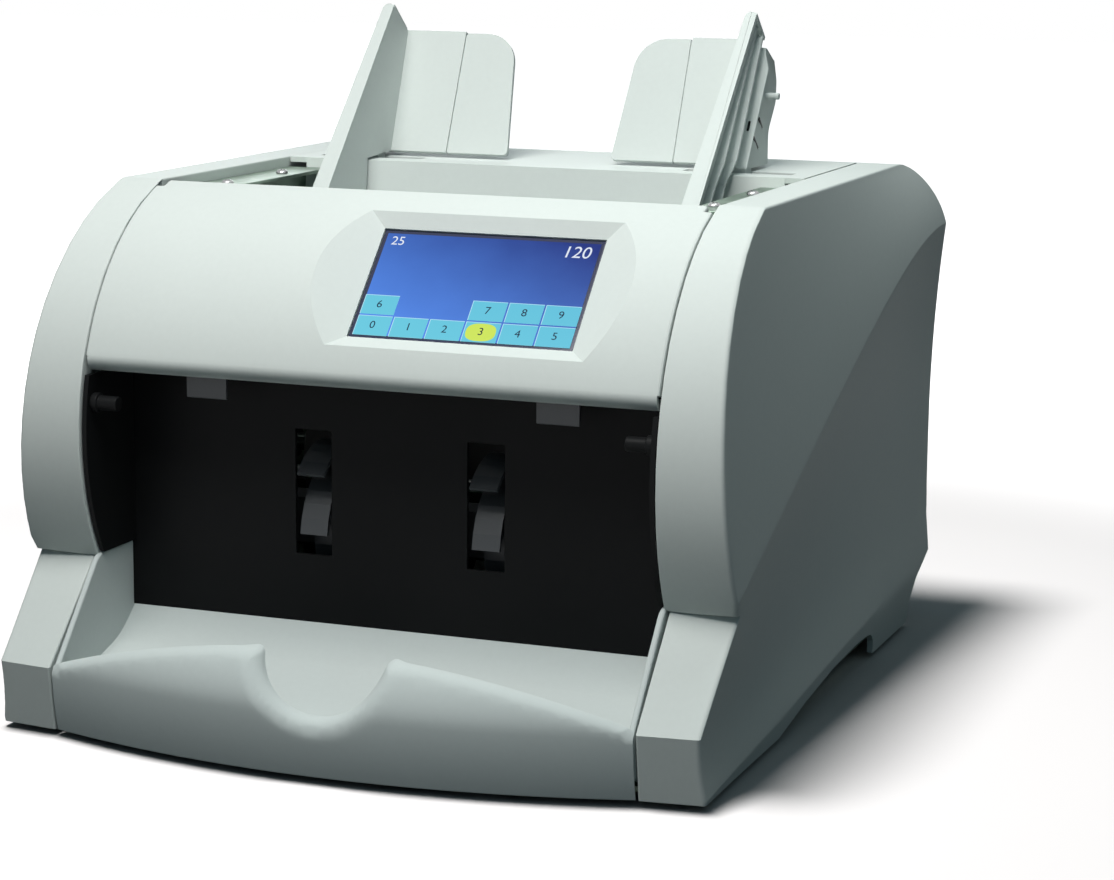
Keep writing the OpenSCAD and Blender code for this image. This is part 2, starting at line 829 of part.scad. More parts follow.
guide_x = guide_gap / 2;
lead_run = 200.6;
lead_y = guide_h - lead_run;
floor_lift = 1.6;
lead_foot = lead_low();
function floor_height(y) = floor_z - (y - floor_y) * tan(floor_slope);
function lead_low() =
  let(k = tan(floor_slope), t = (guide_h - floor_height(lead_y) - floor_lift) / (1 + k))
  [lead_y - t, guide_h - t];
back_top_z = guide_h - 11;
back_top_y = lead_y + 3;
back_low_y = hopper_rear_y - 2;
back_lean = 32;
band_t = 5;
band_w = 9;
boss_w = 18;
boss_d = 42;
boss_h = 44;
peg_z = 31;

module guide_side_outline() {
  low_y = back_foot_y - throat;
  polygon([
    lead_foot,
    [low_y, floor_height(low_y) + floor_lift],
    [low_y + 1, back_foot_z],
    [back_low_y - 0.5, deck_z - 2],
    [back_low_y, deck_z + 1],
    [back_top_y, back_top_z],
    [lead_y, guide_h]]);
}

// A strip of the side wall parallel to its leaning front edge
module guide_strip(offset_in, width) {
  intersection() {
    guide_side_outline();
    translate([lead_y, guide_h]) rotate(-135) translate([-20, offset_in]) square([200, width]);
  }
}

module guide_boss() {
  xslab(guide_x + guide_t - 0.5, guide_x + boss_w) polygon([
    [hopper_rear_y - 10, deck_z + 0.6],
    [hopper_rear_y + boss_d, deck_z + 0.6],
    [hopper_rear_y + boss_d + 1, deck_z + boss_h],
    [hopper_rear_y + boss_d - 6, back_top_z - 2],
    [hopper_rear_y + 20, back_top_z - 8]]);
  xbar(guide_x + boss_w - 1, guide_x + boss_w + 1.5, hopper_rear_y + boss_d - 4, deck_z + peg_z, 2);
}

module guide_leg() {
  difference() {
    union() {
      translate([block_x, block_y, block_z])
        cube([block_l, block_rear - block_y, block_top - block_z]);
      translate([block_x, rail_y - neck_w / 2, block_top - 1])
        cube([block_l, neck_w, deck_z + 2 - block_top + 1]);
    }
    xbar(block_x - 1, block_x + block_l + 1, rail_y, rail_z, rail_r + bore_gap);
  }
}

module guide_back() {
  panel_l = 41;
  plan_turn = 17;
  panel_h = (back_top_z - deck_z - 3) / cos(back_lean);
  corner_r = 10;
  translate([guide_x + 2, back_low_y, deck_z + 3]) rotate([0, 0, -plan_turn])
    rotate([90 - back_lean, 0, 0])
    translate([-panel_l, 0, -2.5]) linear_extrude(2.5) {
      translate([corner_r, 0]) square([panel_l - corner_r, panel_h]);
      square([panel_l, panel_h - corner_r]);
      translate([corner_r, panel_h - corner_r]) circle(r = corner_r);
    }
}

module guide() {
  color(light_grey) {
    xslab(guide_x, guide_x + guide_t) guide_side_outline();
    xslab(guide_x, guide_x + band_w) guide_strip(0, band_t);
    for (k = [1, 2]) xslab(guide_x + guide_t - 0.5, guide_x + 8 - k) guide_strip(k * band_w, 2);
    guide_boss();
    guide_back();
    guide_leg();
  }
}

module hopper_guide_right() {
  guide();
}

module hopper_guide_left() {
  mirror([1, 0, 0]) guide();
}

module guide_rail() {
  color(steel) xbar(-plate_out, plate_out, rail_y, rail_z, rail_r);
}

gear_pin_r = 2.5;
pitch = PI * gear_m;
pressure = 20;

module gear_pin() {
  color(steel) translate([0, gear_y, 0]) {
    translate([0, 0, rack_z - 1]) cylinder(h = deck_z - deck_t - rack_z, r = gear_pin_r);
    translate([0, 0, rack_z - 2.5]) cylinder(h = 2, r = gear_pin_r + 2);
  }
}

// A rack that lies along X with its teeth towards +Y, one tooth centred on x = 0
module rack_bar() {
  half = pitch / 4 - backlash / 2;
  tip = gear_m;
  root = 1.25 * gear_m;
  first = -floor((rack_back - 2) / pitch);
  last = floor((guide_in + 10) / pitch);
  translate([0, rack_pitch_y, rack_z]) linear_extrude(rack_t) {
    translate([-rack_back, -root - rack_w]) square([rack_back + block_x + block_l, rack_w]);
    for (k = [first : last]) translate([k * pitch, 0]) polygon([
      [-half - root * tan(pressure), -root - 0.1],
      [half + root * tan(pressure), -root - 0.1],
      [half - tip * tan(pressure), tip * 0.95],
      [-half + tip * tan(pressure), tip * 0.95]]);
  }
}

module guide_rack_right() {
  color(steel) rack_bar();
}

module guide_rack_left() {
  color(steel) translate([0, 2 * gear_y, 0]) rotate([0, 0, 180]) rack_bar();
}

// Involute gear
base_r = gear_r * cos(pressure);
function involute(r) = let(a = acos(base_r / r)) tan(a) * 180 / PI - a;
function flank(r) = 90 / gear_teeth - backlash / 2 / gear_r * 180 / PI + involute(gear_r)
  - involute(max(r, base_r));

module guide_gear() {
  root_r = gear_r - 1.25 * gear_m;
  tip_r = gear_r + gear_m * 0.95;
  steps = 5;
  radii = [for (k = [0 : steps]) base_r + (tip_r - base_r) * k / steps];
  color(black_plastic) translate([0, gear_y, rack_z + 0.2]) difference() {
    linear_extrude(rack_t - 0.4) {
      circle(r = root_r);
      for (k = [0 : gear_teeth - 1]) rotate(k * 360 / gear_teeth) polygon(concat(
        [[root_r * 0.9, -root_r * sin(flank(base_r))]],
        [for (r = radii) r * [cos(flank(r)), -sin(flank(r))]],
        [for (k = [steps : -1 : 0]) radii[k] * [cos(flank(radii[k])), sin(flank(radii[k]))]],
        [[root_r * 0.9, root_r * sin(flank(base_r))]]));
    }
    translate([0, 0, -1]) cylinder(h = rack_t + 2, r = gear_pin_r + bore_gap);
  }
}

// Drive

drum_xs = [-78, -28, 28, 78];
drum_w = 26;
kicker_xs = [-30, 30];
kicker_w = 16;

module drum_shaft() {
  color(steel) xbar(-plane_b - pulley_w / 2 - 2, plane_b + 2, drum_y, drum_z, drum_shaft_r);
}

module drum_rollers() {
  color(rubber_black) difference() {
    union() {
      for (x = drum_xs) xbar(x - drum_w / 2, x + drum_w / 2, drum_y, drum_z, drum_r);
      xbar(drum_xs[0], drum_xs[3], drum_y, drum_z, drum_r - 5);
    }
    xbar(-plate_in, plate_in, drum_y, drum_z, drum_shaft_r);
  }
}

module pulley(x, y, z, r, bore) {
  difference() {
    union() {
      xbar(x - pulley_w / 2, x + pulley_w / 2, y, z, r);
      for (e = [-pulley_w / 2, pulley_w / 2 - 0.8]) xbar(x + e, x + e + 0.8, y, z, r + belt_t + 1);
    }
    xbar(x - pulley_w, x + pulley_w, y, z, bore);
  }
}

module drum_pulleys() {
  color(black_plastic) {
    pulley(-plane_a, drum_y, drum_z, drum_pulley_motor, drum_shaft_r);
    pulley(-plane_b, drum_y, drum_z, drum_pulley_stacker, drum_shaft_r);
    pulley(plane_a, drum_y, drum_z, drum_pulley_kicker, drum_shaft_r);
  }
}

module encoder_disc() {
  disc_r = 18;
  color("#c9c6b4") difference() {
    xbar(plane_b - 1.5, plane_b, drum_y, drum_z, disc_r);
    xbar(plane_b - 2, plane_b + 1, drum_y, drum_z, drum_shaft_r);
    for (a = [0 : 15 : 345])
      xbar(plane_b - 2, plane_b + 1, drum_y + (disc_r - 4) * cos(a), drum_z + (disc_r - 4) * sin(a), 1);
  }
}

module kicker_shaft() {
  color(steel) xbar(-plate_out - 4, plane_a + pulley_w / 2 + 2, kicker_y, kicker_z, shaft_r);
}

module kicker_wheels() {
  color(rubber_black) for (x = kicker_xs) difference() {
    xbar(x - kicker_w / 2, x + kicker_w / 2, kicker_y, kicker_z, kicker_r);
    xbar(x - kicker_w, x + kicker_w, kicker_y, kicker_z, shaft_r);
  }
}

module kicker_pulley() {
  color(black_plastic) pulley(plane_a, kicker_y, kicker_z, kicker_pulley_r, shaft_r);
}

module stacker_shaft() {
  color(steel) xbar(-plane_b - pulley_w / 2 - 2, plate_out + 4, stacker_y, stacker_z, shaft_r);
}

// One curved finger, from the hub to the rim
module finger() {
  hub = 11;
  steps = 8;
  sweep = 62;
  thick = 1.6;
  line = [for (k = [0 : steps]) let(r = hub + (stacker_r - thick - hub) * k / steps, a = sweep * k / steps)
    r * [cos(a), sin(a)]];
  polygon(concat(line, [for (k = [steps : -1 : 0]) let(p = line[k]) p * (1 + thick / norm(p))
    + [sin(sweep * k / steps), -cos(sweep * k / steps)] * thick / 2]));
}

module stacker_wheels() {
  color("#3a3f40") for (x = [-wheel_x, wheel_x])
    translate([0, stacker_y, stacker_z]) xslab(x - wheel_w / 2, x + wheel_w / 2) difference() {
      union() {
        circle(r = 13);
        for (k = [0 : fingers - 1]) rotate(k * 360 / fingers) finger();
      }
      circle(r = shaft_r);
    }
}

module stacker_pulley() {
  color(black_plastic) pulley(-plane_b, stacker_y, stacker_z, stacker_pulley_r, shaft_r);
}

module main_motor() {
  color("#505557") difference() {
    union() {
      xbar(-plate_in, -plate_in + motor_l, motor_y, motor_z, motor_r);
      xbar(-plate_in + motor_l, -plate_in + motor_l + 6, motor_y, motor_z, 9);
    }
    xbar(-plate_in - 1, -plate_in + 30, motor_y, motor_z, motor_shaft_r + bore_gap);
  }
}

module motor_pulley() {
  color(black_plastic) {
    pulley(-plane_a, motor_y, motor_z, motor_pulley_r, motor_shaft_r);
    xbar(-plane_a - pulley_w / 2, -plate_in + 28, motor_y, motor_z, motor_shaft_r);
  }
}

// A flat belt round two pulleys, clear of both by the running gap
function arc_points(c, r, from, to) = [
  for (k = [0 : belt_steps]) let(a = from + (to - from) * k / belt_steps) c + r * [cos(a), sin(a)]];

module belt_outline(a, ra, b, rb) {
  span = norm(b - a);
  turn = atan2(b[1] - a[1], b[0] - a[0]);
  tip = acos((ra - rb) / span);
  polygon(concat(
    arc_points(a, ra, turn + tip, turn + 360 - tip),
    arc_points(b, rb, turn - tip, turn + tip)));
}

module belt(x, a, ra, b, rb) {
  color(rubber_black) xslab(x - belt_w / 2, x + belt_w / 2) difference() {
    belt_outline(a, ra + run_gap + belt_t, b, rb + run_gap + belt_t);
    belt_outline(a, ra + run_gap, b, rb + run_gap);
  }
}

drum_at = [drum_y, drum_z];

module drive_belt() {
  belt(-plane_a, drum_at, drum_pulley_motor, [motor_y, motor_z], motor_pulley_r);
}

module stacker_belt() {
  belt(-plane_b, drum_at, drum_pulley_stacker, [stacker_y, stacker_z], stacker_pulley_r);
}

module kicker_belt() {
  belt(plane_a, drum_at, drum_pulley_kicker, [kicker_y, kicker_z], kicker_pulley_r);
}

module pressure_roller(k) {
  color(rubber_black) {
    xbar(-plate_out - 3, plate_out + 3, idler_y(k), idler_z(k), idler_shaft_r);
    for (x = drum_xs) xbar(x - drum_w / 2, x + drum_w / 2, idler_y(k), idler_z(k), idler_r);
  }
}

module pressure_roller_rear() {
  pressure_roller(0);
}

module pressure_roller_front() {
  pressure_roller(1);
}

module retard_roller() {
  color(rubber_black) {
    xbar(-plate_out, plate_out, retard_y, retard_z, shaft_r);
    for (x = [drum_xs[1], drum_xs[2]])
      xbar(x - drum_w / 2, x + drum_w / 2, retard_y, retard_z, retard_r);
  }
}

// A curved plate that keeps a note on the rear of the drum
module drum_guide() {
  r0 = drum_r + 1.5;
  color(steel) xslab(-plate_in, plate_in) translate(drum_at) intersection() {
    difference() {
      circle(r = r0 + 1.5);
      circle(r = r0);
    }
    polygon([[0, 0], 2 * r0 * [cos(-17), sin(-17)], 2 * r0 * [1, 0.1], 2 * r0 * [cos(33), sin(33)]]);
  }
}

upper_head = [2 * plate_in, 18, 20];
upper_head_at = [-plate_in, stacker_y + 40, stacker_z - 40];
lower_head = [2 * plate_in, 42, 18];
lower_head_at = [-plate_in, stacker_y + 15, stacker_z - 70];

module scan_head_upper() {
  color("#2b3034") translate(upper_head_at) cube(upper_head);
}

module scan_head_lower() {
  color("#2b3034") translate(lower_head_at) cube(lower_head);
}

// Electrics

board = [170, 88, 1.6];
board_post = 8;
board_at = [-board[0] / 2, back_y + 10, pan_z + board_post];
chip = [26, 26, 6];
chip_xs = [24, 70, 118];
chip_y = 30;
supply = [88, 56, 40];
supply_gap = 4;
supply_at = [plate_in - flange_w - supply[0] - supply_gap, pan_rear - supply[1] - supply_gap, pan_z];

module main_board() {
  color("#2f6a44") translate(board_at) cube(board);
  color("#26292b") for (x = chip_xs) translate(board_at + [x, chip_y, board[2]]) cube(chip);
}

module board_posts() {
  for (x = [6, board[0] - 6], y = [14, board[1] - 6])
    translate([board_at[0] + x, board_at[1] + y, pan_z - 0.5])
      cylinder(h = board_at[2] - pan_z + 0.5, r = 3);
}

module power_supply() {
  color("#9aa09d") translate(supply_at) cube(supply);
}

module inlet_socket() {
  color(black_plastic) difference() {
    union() {
      translate([inlet[0] - inlet_w / 2 - 5, rear_y, inlet[1] - inlet_h / 2 - 4])
        cube([inlet_w + 10, flange_t, inlet_h + 8]);
      translate([inlet[0] - inlet_w / 2 - 1, rear_y - 20, inlet[1] - inlet_h / 2 - 1])
        cube([inlet_w + 2, 20.5, inlet_h + 2]);
    }
    translate([inlet[0] - inlet_w / 2 + 1, rear_y - 17, inlet[1] - inlet_h / 2 + 1])
      cube([inlet_w - 2, 20, inlet_h - 2]);
  }
  color(steel) for (p = [[-7, -2], [0, 2], [7, -2]])
    translate([inlet[0] + p[0] - 1, rear_y - 18, inlet[1] + p[1] - 2]) cube([2, 13, 4]);
}

module switch_frame() {
  color(black_plastic) difference() {
    union() {
      translate([rocker[0] - rocker_w / 2 - 5, rear_y, rocker[1] - rocker_h / 2 - 5])
        cube([rocker_w + 10, flange_t, rocker_h + 10]);
      translate([rocker[0] - rocker_w / 2 - 2, rear_y - 16, rocker[1] - rocker_h / 2 - 2])
        cube([rocker_w + 4, 16.5, rocker_h + 4]);
    }
    translate([rocker[0] - rocker_w / 2 - 0.3, rear_y - 14, rocker[1] - rocker_h / 2 - 0.5])
      cube([rocker_w + 0.6, 20, rocker_h + 1]);
    xbar(rocker[0] - rocker_w / 2 - 1.5, rocker[0] + rocker_w / 2 + 1.5, rocker_axis[0], rocker_axis[1],
      1.5);
  }
}

rocker_axis = [rear_y - 7, rocker[1]];

module power_rocker() {
  h = rocker_h / 2 - 0.6;
  color("#2c2e30") translate([0, rocker_axis[0], rocker_axis[1]]) rotate([rocker_tilt, 0, 0]) {
    xslab(rocker[0] - rocker_w / 2, rocker[0] + rocker_w / 2) polygon([
      [-3, -4], [-3, 4], [4.6, h], [6.4, h - 0.3], [4.9, 0], [6.4, -h + 0.3], [4.6, -h]]);
    xbar(rocker[0] - rocker_w / 2 - 1.4, rocker[0] + rocker_w / 2 + 1.4, 0, 0, 1.5 - bore_gap);
  }
}

base_pan();
rubber_feet();
chassis_plate_left();
chassis_plate_right();
tie_rods();
tie_rod_screws();
cover_standoffs();
side_cover_left();
side_cover_right();
stacker_tray();
pocket_back_plate();
pocket_hood();
note_tabs();
pocket_liner_left();
pocket_liner_right();
pocket_sensors();
hopper_floor();
hopper_ledges();
ledge_screws();
rear_deck();
rear_cover();
guide_rail();
gear_pin();
shaft_bushes();
drum_guide();
retard_roller();
scan_head_upper();
scan_head_lower();
main_motor();
drive_belt();
stacker_belt();
kicker_belt();
main_board();
power_supply();
inlet_socket();
switch_frame();
panel_pins();
front_panel();
display_glass();
display_module();
display_screws();
hopper_guide_left();
guide_rack_left();
hopper_guide_right();
guide_rack_right();
guide_gear();
drum_shaft();
drum_rollers();
drum_pulleys();
encoder_disc();
kicker_shaft();
kicker_wheels();
kicker_pulley();
stacker_shaft();
stacker_wheels();
stacker_pulley();
motor_pulley();
pressure_roller_rear();
pressure_roller_front();
power_rocker();
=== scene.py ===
import json
import math

import bmesh
import bpy
from mathutils import Matrix, Vector
from mathutils.geometry import delaunay_2d_cdt


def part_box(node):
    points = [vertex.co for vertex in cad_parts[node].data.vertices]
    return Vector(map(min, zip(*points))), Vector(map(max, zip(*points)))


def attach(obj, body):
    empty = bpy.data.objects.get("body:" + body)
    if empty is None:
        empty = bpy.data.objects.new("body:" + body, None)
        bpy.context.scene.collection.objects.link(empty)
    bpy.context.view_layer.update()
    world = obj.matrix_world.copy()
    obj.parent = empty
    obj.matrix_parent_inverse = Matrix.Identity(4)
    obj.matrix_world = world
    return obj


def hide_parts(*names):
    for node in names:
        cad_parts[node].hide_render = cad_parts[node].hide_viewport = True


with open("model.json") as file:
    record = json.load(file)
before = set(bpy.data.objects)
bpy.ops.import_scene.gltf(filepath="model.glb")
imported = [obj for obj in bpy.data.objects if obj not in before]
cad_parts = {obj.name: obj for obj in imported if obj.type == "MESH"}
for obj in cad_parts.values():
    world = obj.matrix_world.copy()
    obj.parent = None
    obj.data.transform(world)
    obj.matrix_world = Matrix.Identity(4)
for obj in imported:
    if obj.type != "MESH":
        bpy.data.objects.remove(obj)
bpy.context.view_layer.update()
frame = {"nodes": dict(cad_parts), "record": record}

mm = 0.001  # sizes below are in millimetres
tiny = 1e-6
merge = 0.003 * mm  # points of a solid that lie closer than this are one
sides = ((1, "Right"), (-1, "Left"))
softShare = 0.3  # how far in the middle point of an eased edge lies
quarter = (22.5, 45, 67.5, 90)  # steps round a corner, in degrees
print("frame loaded with", len(frame["nodes"]), "nodes")


# Helpers for meshes

def lerp(a, b, t):
    return a + (b - a) * t


def clamp(value, low=0.0, high=1.0):
    return max(low, min(high, value))


def smooth(t):
    t = clamp(t)
    return t * t * (3 - 2 * t)


def boxOf(node):
    low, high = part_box(node)
    return low / mm, high / mm


def gridMesh(patches):  # each patch is a list of rows of points
    bm = bmesh.new()
    for rows in patches:
        made = [[bm.verts.new(Vector(p) * mm) for p in row] for row in rows]
        for low, high in zip(made, made[1:]):
            for k in range(len(low) - 1):
                bm.faces.new((low[k], low[k + 1], high[k + 1], high[k]))
    bmesh.ops.remove_doubles(bm, verts=bm.verts, dist=0.004 * mm)
    bmesh.ops.recalc_face_normals(bm, faces=bm.faces)
    return bm


def faceOutwards(bm, inside):  # inside is a point, in millimetres, that the skin faces away from
    centre = Vector(inside) * mm
    total = sum((f.calc_center_median() - centre).dot(f.normal) * f.calc_area() for f in bm.faces)
    if total < 0:
        bmesh.ops.reverse_faces(bm, faces=bm.faces)


def addPlate(bm, outline, place, low, high):  # outline in two sizes, place turns (a, b, depth) into a point
    under = [bm.verts.new(Vector(place(a, b, low)) * mm) for a, b in outline]
    over = [bm.verts.new(Vector(place(a, b, high)) * mm) for a, b in outline]
    faces = [bm.faces.new(under), bm.faces.new(list(reversed(over)))]
    count = len(outline)
    for k in range(count):
        n = (k + 1) % count
        faces.append(bm.faces.new((under[n], under[k], over[k], over[n])))
    bmesh.ops.recalc_face_normals(bm, faces=faces)


def roundOutline(corners, steps=6):  # corners are (a, b, radius), radius 0 leaves a sharp corner
    outline = []
    count = len(corners)
    for k, (a, b, radius) in enumerate(corners):
        here = Vector((a, b))
        back = (Vector(corners[k - 1][:2]) - here).normalized()
        ahead = (Vector(corners[(k + 1) % count][:2]) - here).normalized()
        half = back.angle(ahead) / 2
        if radius == 0 or half > 1.55:  # sharp, or as good as straight
            outline.append((a, b))
            continue
        centre = here + (back + ahead).normalized() * radius / math.sin(half)
        start = here + back * radius / math.tan(half) - centre
        end = here + ahead * radius / math.tan(half) - centre
        for s in range(steps + 1):
            spoke = start.slerp(end, s / steps, start)
            outline.append(tuple(centre + spoke.normalized() * radius))
    return outline


def rectangle(a0, a1, b0, b1):
    return [(a0, b0), (a1, b0), (a1, b1), (a0, b1)]


def circle(a, b, radius, count):
    turns = [2 * math.pi * k / count for k in range(count)]
    return [(a + radius * math.cos(turn), b + radius * math.sin(turn)) for turn in turns]


def fromSide(y, z, x):  # for outlines drawn in the side view
    return x, y, z


def cornerTurns(*angles):
    return [(math.sin(math.radians(a)), math.cos(math.radians(a))) for a in angles]


def mirrorMesh(bm):  # the left piece from the right one
    bmesh.ops.scale(bm, vec=(-1, 1, 1), verts=bm.verts)
    bmesh.ops.reverse_faces(bm, faces=bm.faces)
    bm.normal_update()


def solidMesh(node):  # a merged copy of a solid
    bm = bmesh.new()
    bm.from_mesh(frame["nodes"][node].data)
    bmesh.ops.remove_doubles(bm, verts=bm.verts, dist=merge)
    return bm


def pieceName(node, ending):
    return "".join(w.capitalize() if k else w for k, w in enumerate(node.split("_"))) + ending


def bakeObject(obj):  # the evaluated mesh takes the place of mesh and modifiers
    graph = bpy.context.evaluated_depsgraph_get()
    baked = bpy.data.meshes.new_from_object(obj.evaluated_get(graph), depsgraph=graph)
    old = obj.data
    obj.modifiers.clear()
    obj.data = baked
    bpy.data.meshes.remove(old)


# nodes are the solids that the piece stands for, wall and bevel are in millimetres, sharp is in degrees
def makePiece(name, bm, body, slotName, nodes=(), wall=0, bevel=0, segments=3, sharp=32, finish=None):
    mesh = bpy.data.meshes.new(name)
    bm.to_mesh(mesh)
    bm.free()
    obj = bpy.data.objects.new(name, mesh)
    bpy.context.scene.collection.objects.link(obj)
    if wall:
        shell = obj.modifiers.new("wall", "SOLIDIFY")
        shell.thickness = wall * mm
        shell.offset = -1
        shell.use_quality_normals = True
    if bevel:
        edge = obj.modifiers.new("edge", "BEVEL")
        edge.width = bevel * mm
        edge.segments = segments
        edge.limit_method = "ANGLE"
        edge.angle_limit = math.radians(sharp)
        edge.miter_outer = "MITER_ARC"
    if wall or bevel:
        bakeObject(obj)
    obj.data.shade_smooth()
    obj.data.set_sharp_from_angle(angle=math.radians(sharp))
    level = obj.modifiers.new("level", "WEIGHTED_NORMAL")
    level.keep_sharp = True
    bakeObject(obj)
    dressPiece(obj, body, slotName, nodes, finish)
    return obj


def dressPiece(obj, body, slotName, nodes=(), finish=None):
    obj.data.materials.clear()
    obj.data.materials.append(finish or finishes[slotName])
    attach(obj, body)
    if nodes:
        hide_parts(*nodes)


def softCopy(node, body, slotName, bevel, segments=3):  # a solid with eased edges
    bm = solidMesh(node)
    bmesh.ops.dissolve_limit(bm, angle_limit=math.radians(0.6), verts=bm.verts, edges=bm.edges)
    makePiece(pieceName(node, "Eased"), bm, body, slotName, [node], 0, bevel, segments, 34)


# Shader groups shared by the finishes

floatKind, colourKind = "NodeSocketFloat", "NodeSocketColor"


def newGroup(name, inputs, outputs, treeKind="ShaderNodeTree"):
    tree = bpy.data.node_groups.new(name, treeKind)
    for label, kind, value in inputs:
        socket = tree.interface.new_socket(name=label, in_out="INPUT", socket_type=kind)
        if value is not None:
            socket.default_value = value
    for label, kind in outputs:
        tree.interface.new_socket(name=label, in_out="OUTPUT", socket_type=kind)
    return tree, tree.nodes.new("NodeGroupInput"), tree.nodes.new("NodeGroupOutput")


def setSockets(node, **values):  # a socket's label, with _ for each space
    for label, value in values.items():
        node.inputs[label.replace("_", " ")].default_value = value


def linkSockets(tree, node, **sources):
    for label, source in sources.items():
        tree.links.new(source, node.inputs[label.replace("_", " ")])


def addNode(tree, kind, links=None, **values):
    node = tree.nodes.new(kind)
    for key, value in values.items():
        if hasattr(node, key):
            setattr(node, key, value)
        else:
            setSockets(node, **{key: value})
    for key, source in (links or {}).items():
        tree.links.new(source, node.inputs[key])
    return node


def feed(tree, socket, value):  # a plain value, or a link from another node
    if isinstance(value, (int, float, tuple)):
        socket.default_value = value
    else:
        tree.links.new(value, socket)


def mathNode(tree, operation, a, b):
    node = addNode(tree, "ShaderNodeMath", operation=operation)
    feed(tree, node.inputs[0], a)
    feed(tree, node.inputs[1], b)
    return node.outputs[0]


def mixColour(tree, share, a, b, blend="MIX"):
    node = addNode(tree, "ShaderNodeMix", data_type="RGBA", blend_type=blend)
    for k, value in ((0, share), (6, a), (7, b)):
        feed(tree, node.inputs[k], value)
    return node.outputs[2]


def shadeColour(tree, colour, shade):  # one factor over all three channels
    tone = addNode(tree, "ShaderNodeCombineColor", {"Red": shade, "Green": shade, "Blue": shade})
    return mixColour(tree, 1.0, colour, tone.outputs[0], "MULTIPLY")


def objectPlace(tree):
    return addNode(tree, "ShaderNodeTexCoord").outputs["Object"]


def noise(tree, place, scale, detail=2.0):
    node = addNode(tree, "ShaderNodeTexNoise", {"Vector": place}, Detail=detail)
    feed(tree, node.inputs["Scale"], scale)
    return node.outputs[0]


def swing(tree, value, amount):  # turns noise into a swing about zero
    return mathNode(tree, "MULTIPLY", mathNode(tree, "SUBTRACT", value, 0.5), amount)


def makeMouldGrain():  # fine spark-eroded grain with slow tone drift, as on moulded covers
    tree, given, result = newGroup(
        "mouldGrain",
        [("Colour", colourKind, (0.5, 0.5, 0.5, 1)), ("Grain", floatKind, 1500.0), ("Drift", floatKind, 0.05),
         ("Roughness", floatKind, 0.45)],
        [("Colour", colourKind), ("Roughness", floatKind), ("Height", floatKind)])
    place = objectPlace(tree)
    slow = noise(tree, place, 14.0)
    drift = swing(tree, slow, given.outputs["Drift"])
    fleck = swing(tree, noise(tree, place, 420.0, 1.0), 0.035)
    shade = mathNode(tree, "ADD", mathNode(tree, "ADD", drift, fleck), 1.0)
    linkSockets(tree, result, Colour=shadeColour(tree, given.outputs["Colour"], shade),
                Roughness=mathNode(tree, "ADD", given.outputs["Roughness"], swing(tree, slow, 0.12)),
                Height=noise(tree, place, given.outputs["Grain"], 3.0))
    return tree


def makeEdgeRub():  # a mask for painted highlight, which rises on sharp edges
    tree, given, result = newGroup(
        "paintedEdgeHighlight", [("Amount", floatKind, 0.3), ("Breakup", floatKind, 60.0)], [("Mask", floatKind)])
    point = addNode(tree, "ShaderNodeNewGeometry").outputs["Pointiness"]
    patchy = noise(tree, objectPlace(tree), given.outputs["Breakup"], 4.0)
    edge = addNode(tree, "ShaderNodeMapRange", {"Value": point}, From_Min=0.52, From_Max=0.62)
    mask = mathNode(tree, "MULTIPLY", edge.outputs[0], patchy)
    linkSockets(tree, result, Mask=mathNode(tree, "MULTIPLY", mask, given.outputs["Amount"]))
    return tree


def makeBrushing():  # drawn or turned lines that follow X, for bars and sheet
    tree, given, result = newGroup(
        "brushing",
        [("Colour", colourKind, (0.5, 0.5, 0.5, 1)), ("Lines", floatKind, 900.0),
         ("Roughness", floatKind, 0.3)],
        [("Colour", colourKind), ("Roughness", floatKind), ("Height", floatKind)])
    place = objectPlace(tree)
    stretch = addNode(tree, "ShaderNodeMapping", {"Vector": place}, Scale=(0.03, 1.0, 1.0))
    lines = noise(tree, stretch.outputs[0], given.outputs["Lines"])
    shade = mathNode(tree, "ADD", mathNode(tree, "MULTIPLY", lines, 0.24), 0.88)
    wear = swing(tree, noise(tree, place, 30.0), 0.25)
    linkSockets(tree, result, Colour=shadeColour(tree, given.outputs["Colour"], shade),
                Roughness=mathNode(tree, "ADD", given.outputs["Roughness"], wear), Height=lines)
    return tree


groups = {"grain": makeMouldGrain(), "rub": makeEdgeRub(), "brushing": makeBrushing()}


def newMaterial(name):
    material = bpy.data.materials.new(name)
    material.use_nodes = True
    return material, material.node_tree, material.node_tree.nodes["Principled BSDF"]


def useGroup(tree, key, **values):
    node = tree.nodes.new("ShaderNodeGroup")
    node.node_tree = groups[key]
    setSockets(node, **values)
    return node


def addBump(tree, shader, height, strength, depth):
    bump = addNode(tree, "ShaderNodeBump", {"Height": height}, Strength=strength, Distance=depth * mm)
    linkSockets(tree, shader, Normal=bump.outputs[0])


def plasticFinish(name, colour, rough, grain=1500.0, drift=0.05, bump=0.25, rub=0.12, shine=0.45):
    material, tree, shader = newMaterial(name)
    skin = useGroup(tree, "grain", Colour=(*colour, 1), Grain=grain, Drift=drift, Roughness=rough)
    edgeHighlightMask = useGroup(tree, "rub", Amount=rub, Breakup=60.0)
    # painted highlight: sharp edges are mixed towards this lighter colour
    light = tuple(min(1.0, c * 1.25 + 0.02) for c in colour)
    base = mixColour(tree, edgeHighlightMask.outputs[0], skin.outputs["Colour"], (*light, 1))
    linkSockets(tree, shader, Base_Color=base, Roughness=skin.outputs["Roughness"])
    addBump(tree, shader, skin.outputs["Height"], bump, 0.05)
    setSockets(shader, Specular_IOR_Level=shine)
    return material


def metalFinish(name, colour, rough, lines=900.0, bump=0.15):
    material, tree, shader = newMaterial(name)
    skin = useGroup(tree, "brushing", Colour=(*colour, 1), Lines=lines, Roughness=rough)
    linkSockets(tree, shader, Base_Color=skin.outputs["Colour"], Roughness=skin.outputs["Roughness"])
    setSockets(shader, Metallic=1.0)
    addBump(tree, shader, skin.outputs["Height"], bump, 0.02)
    return material


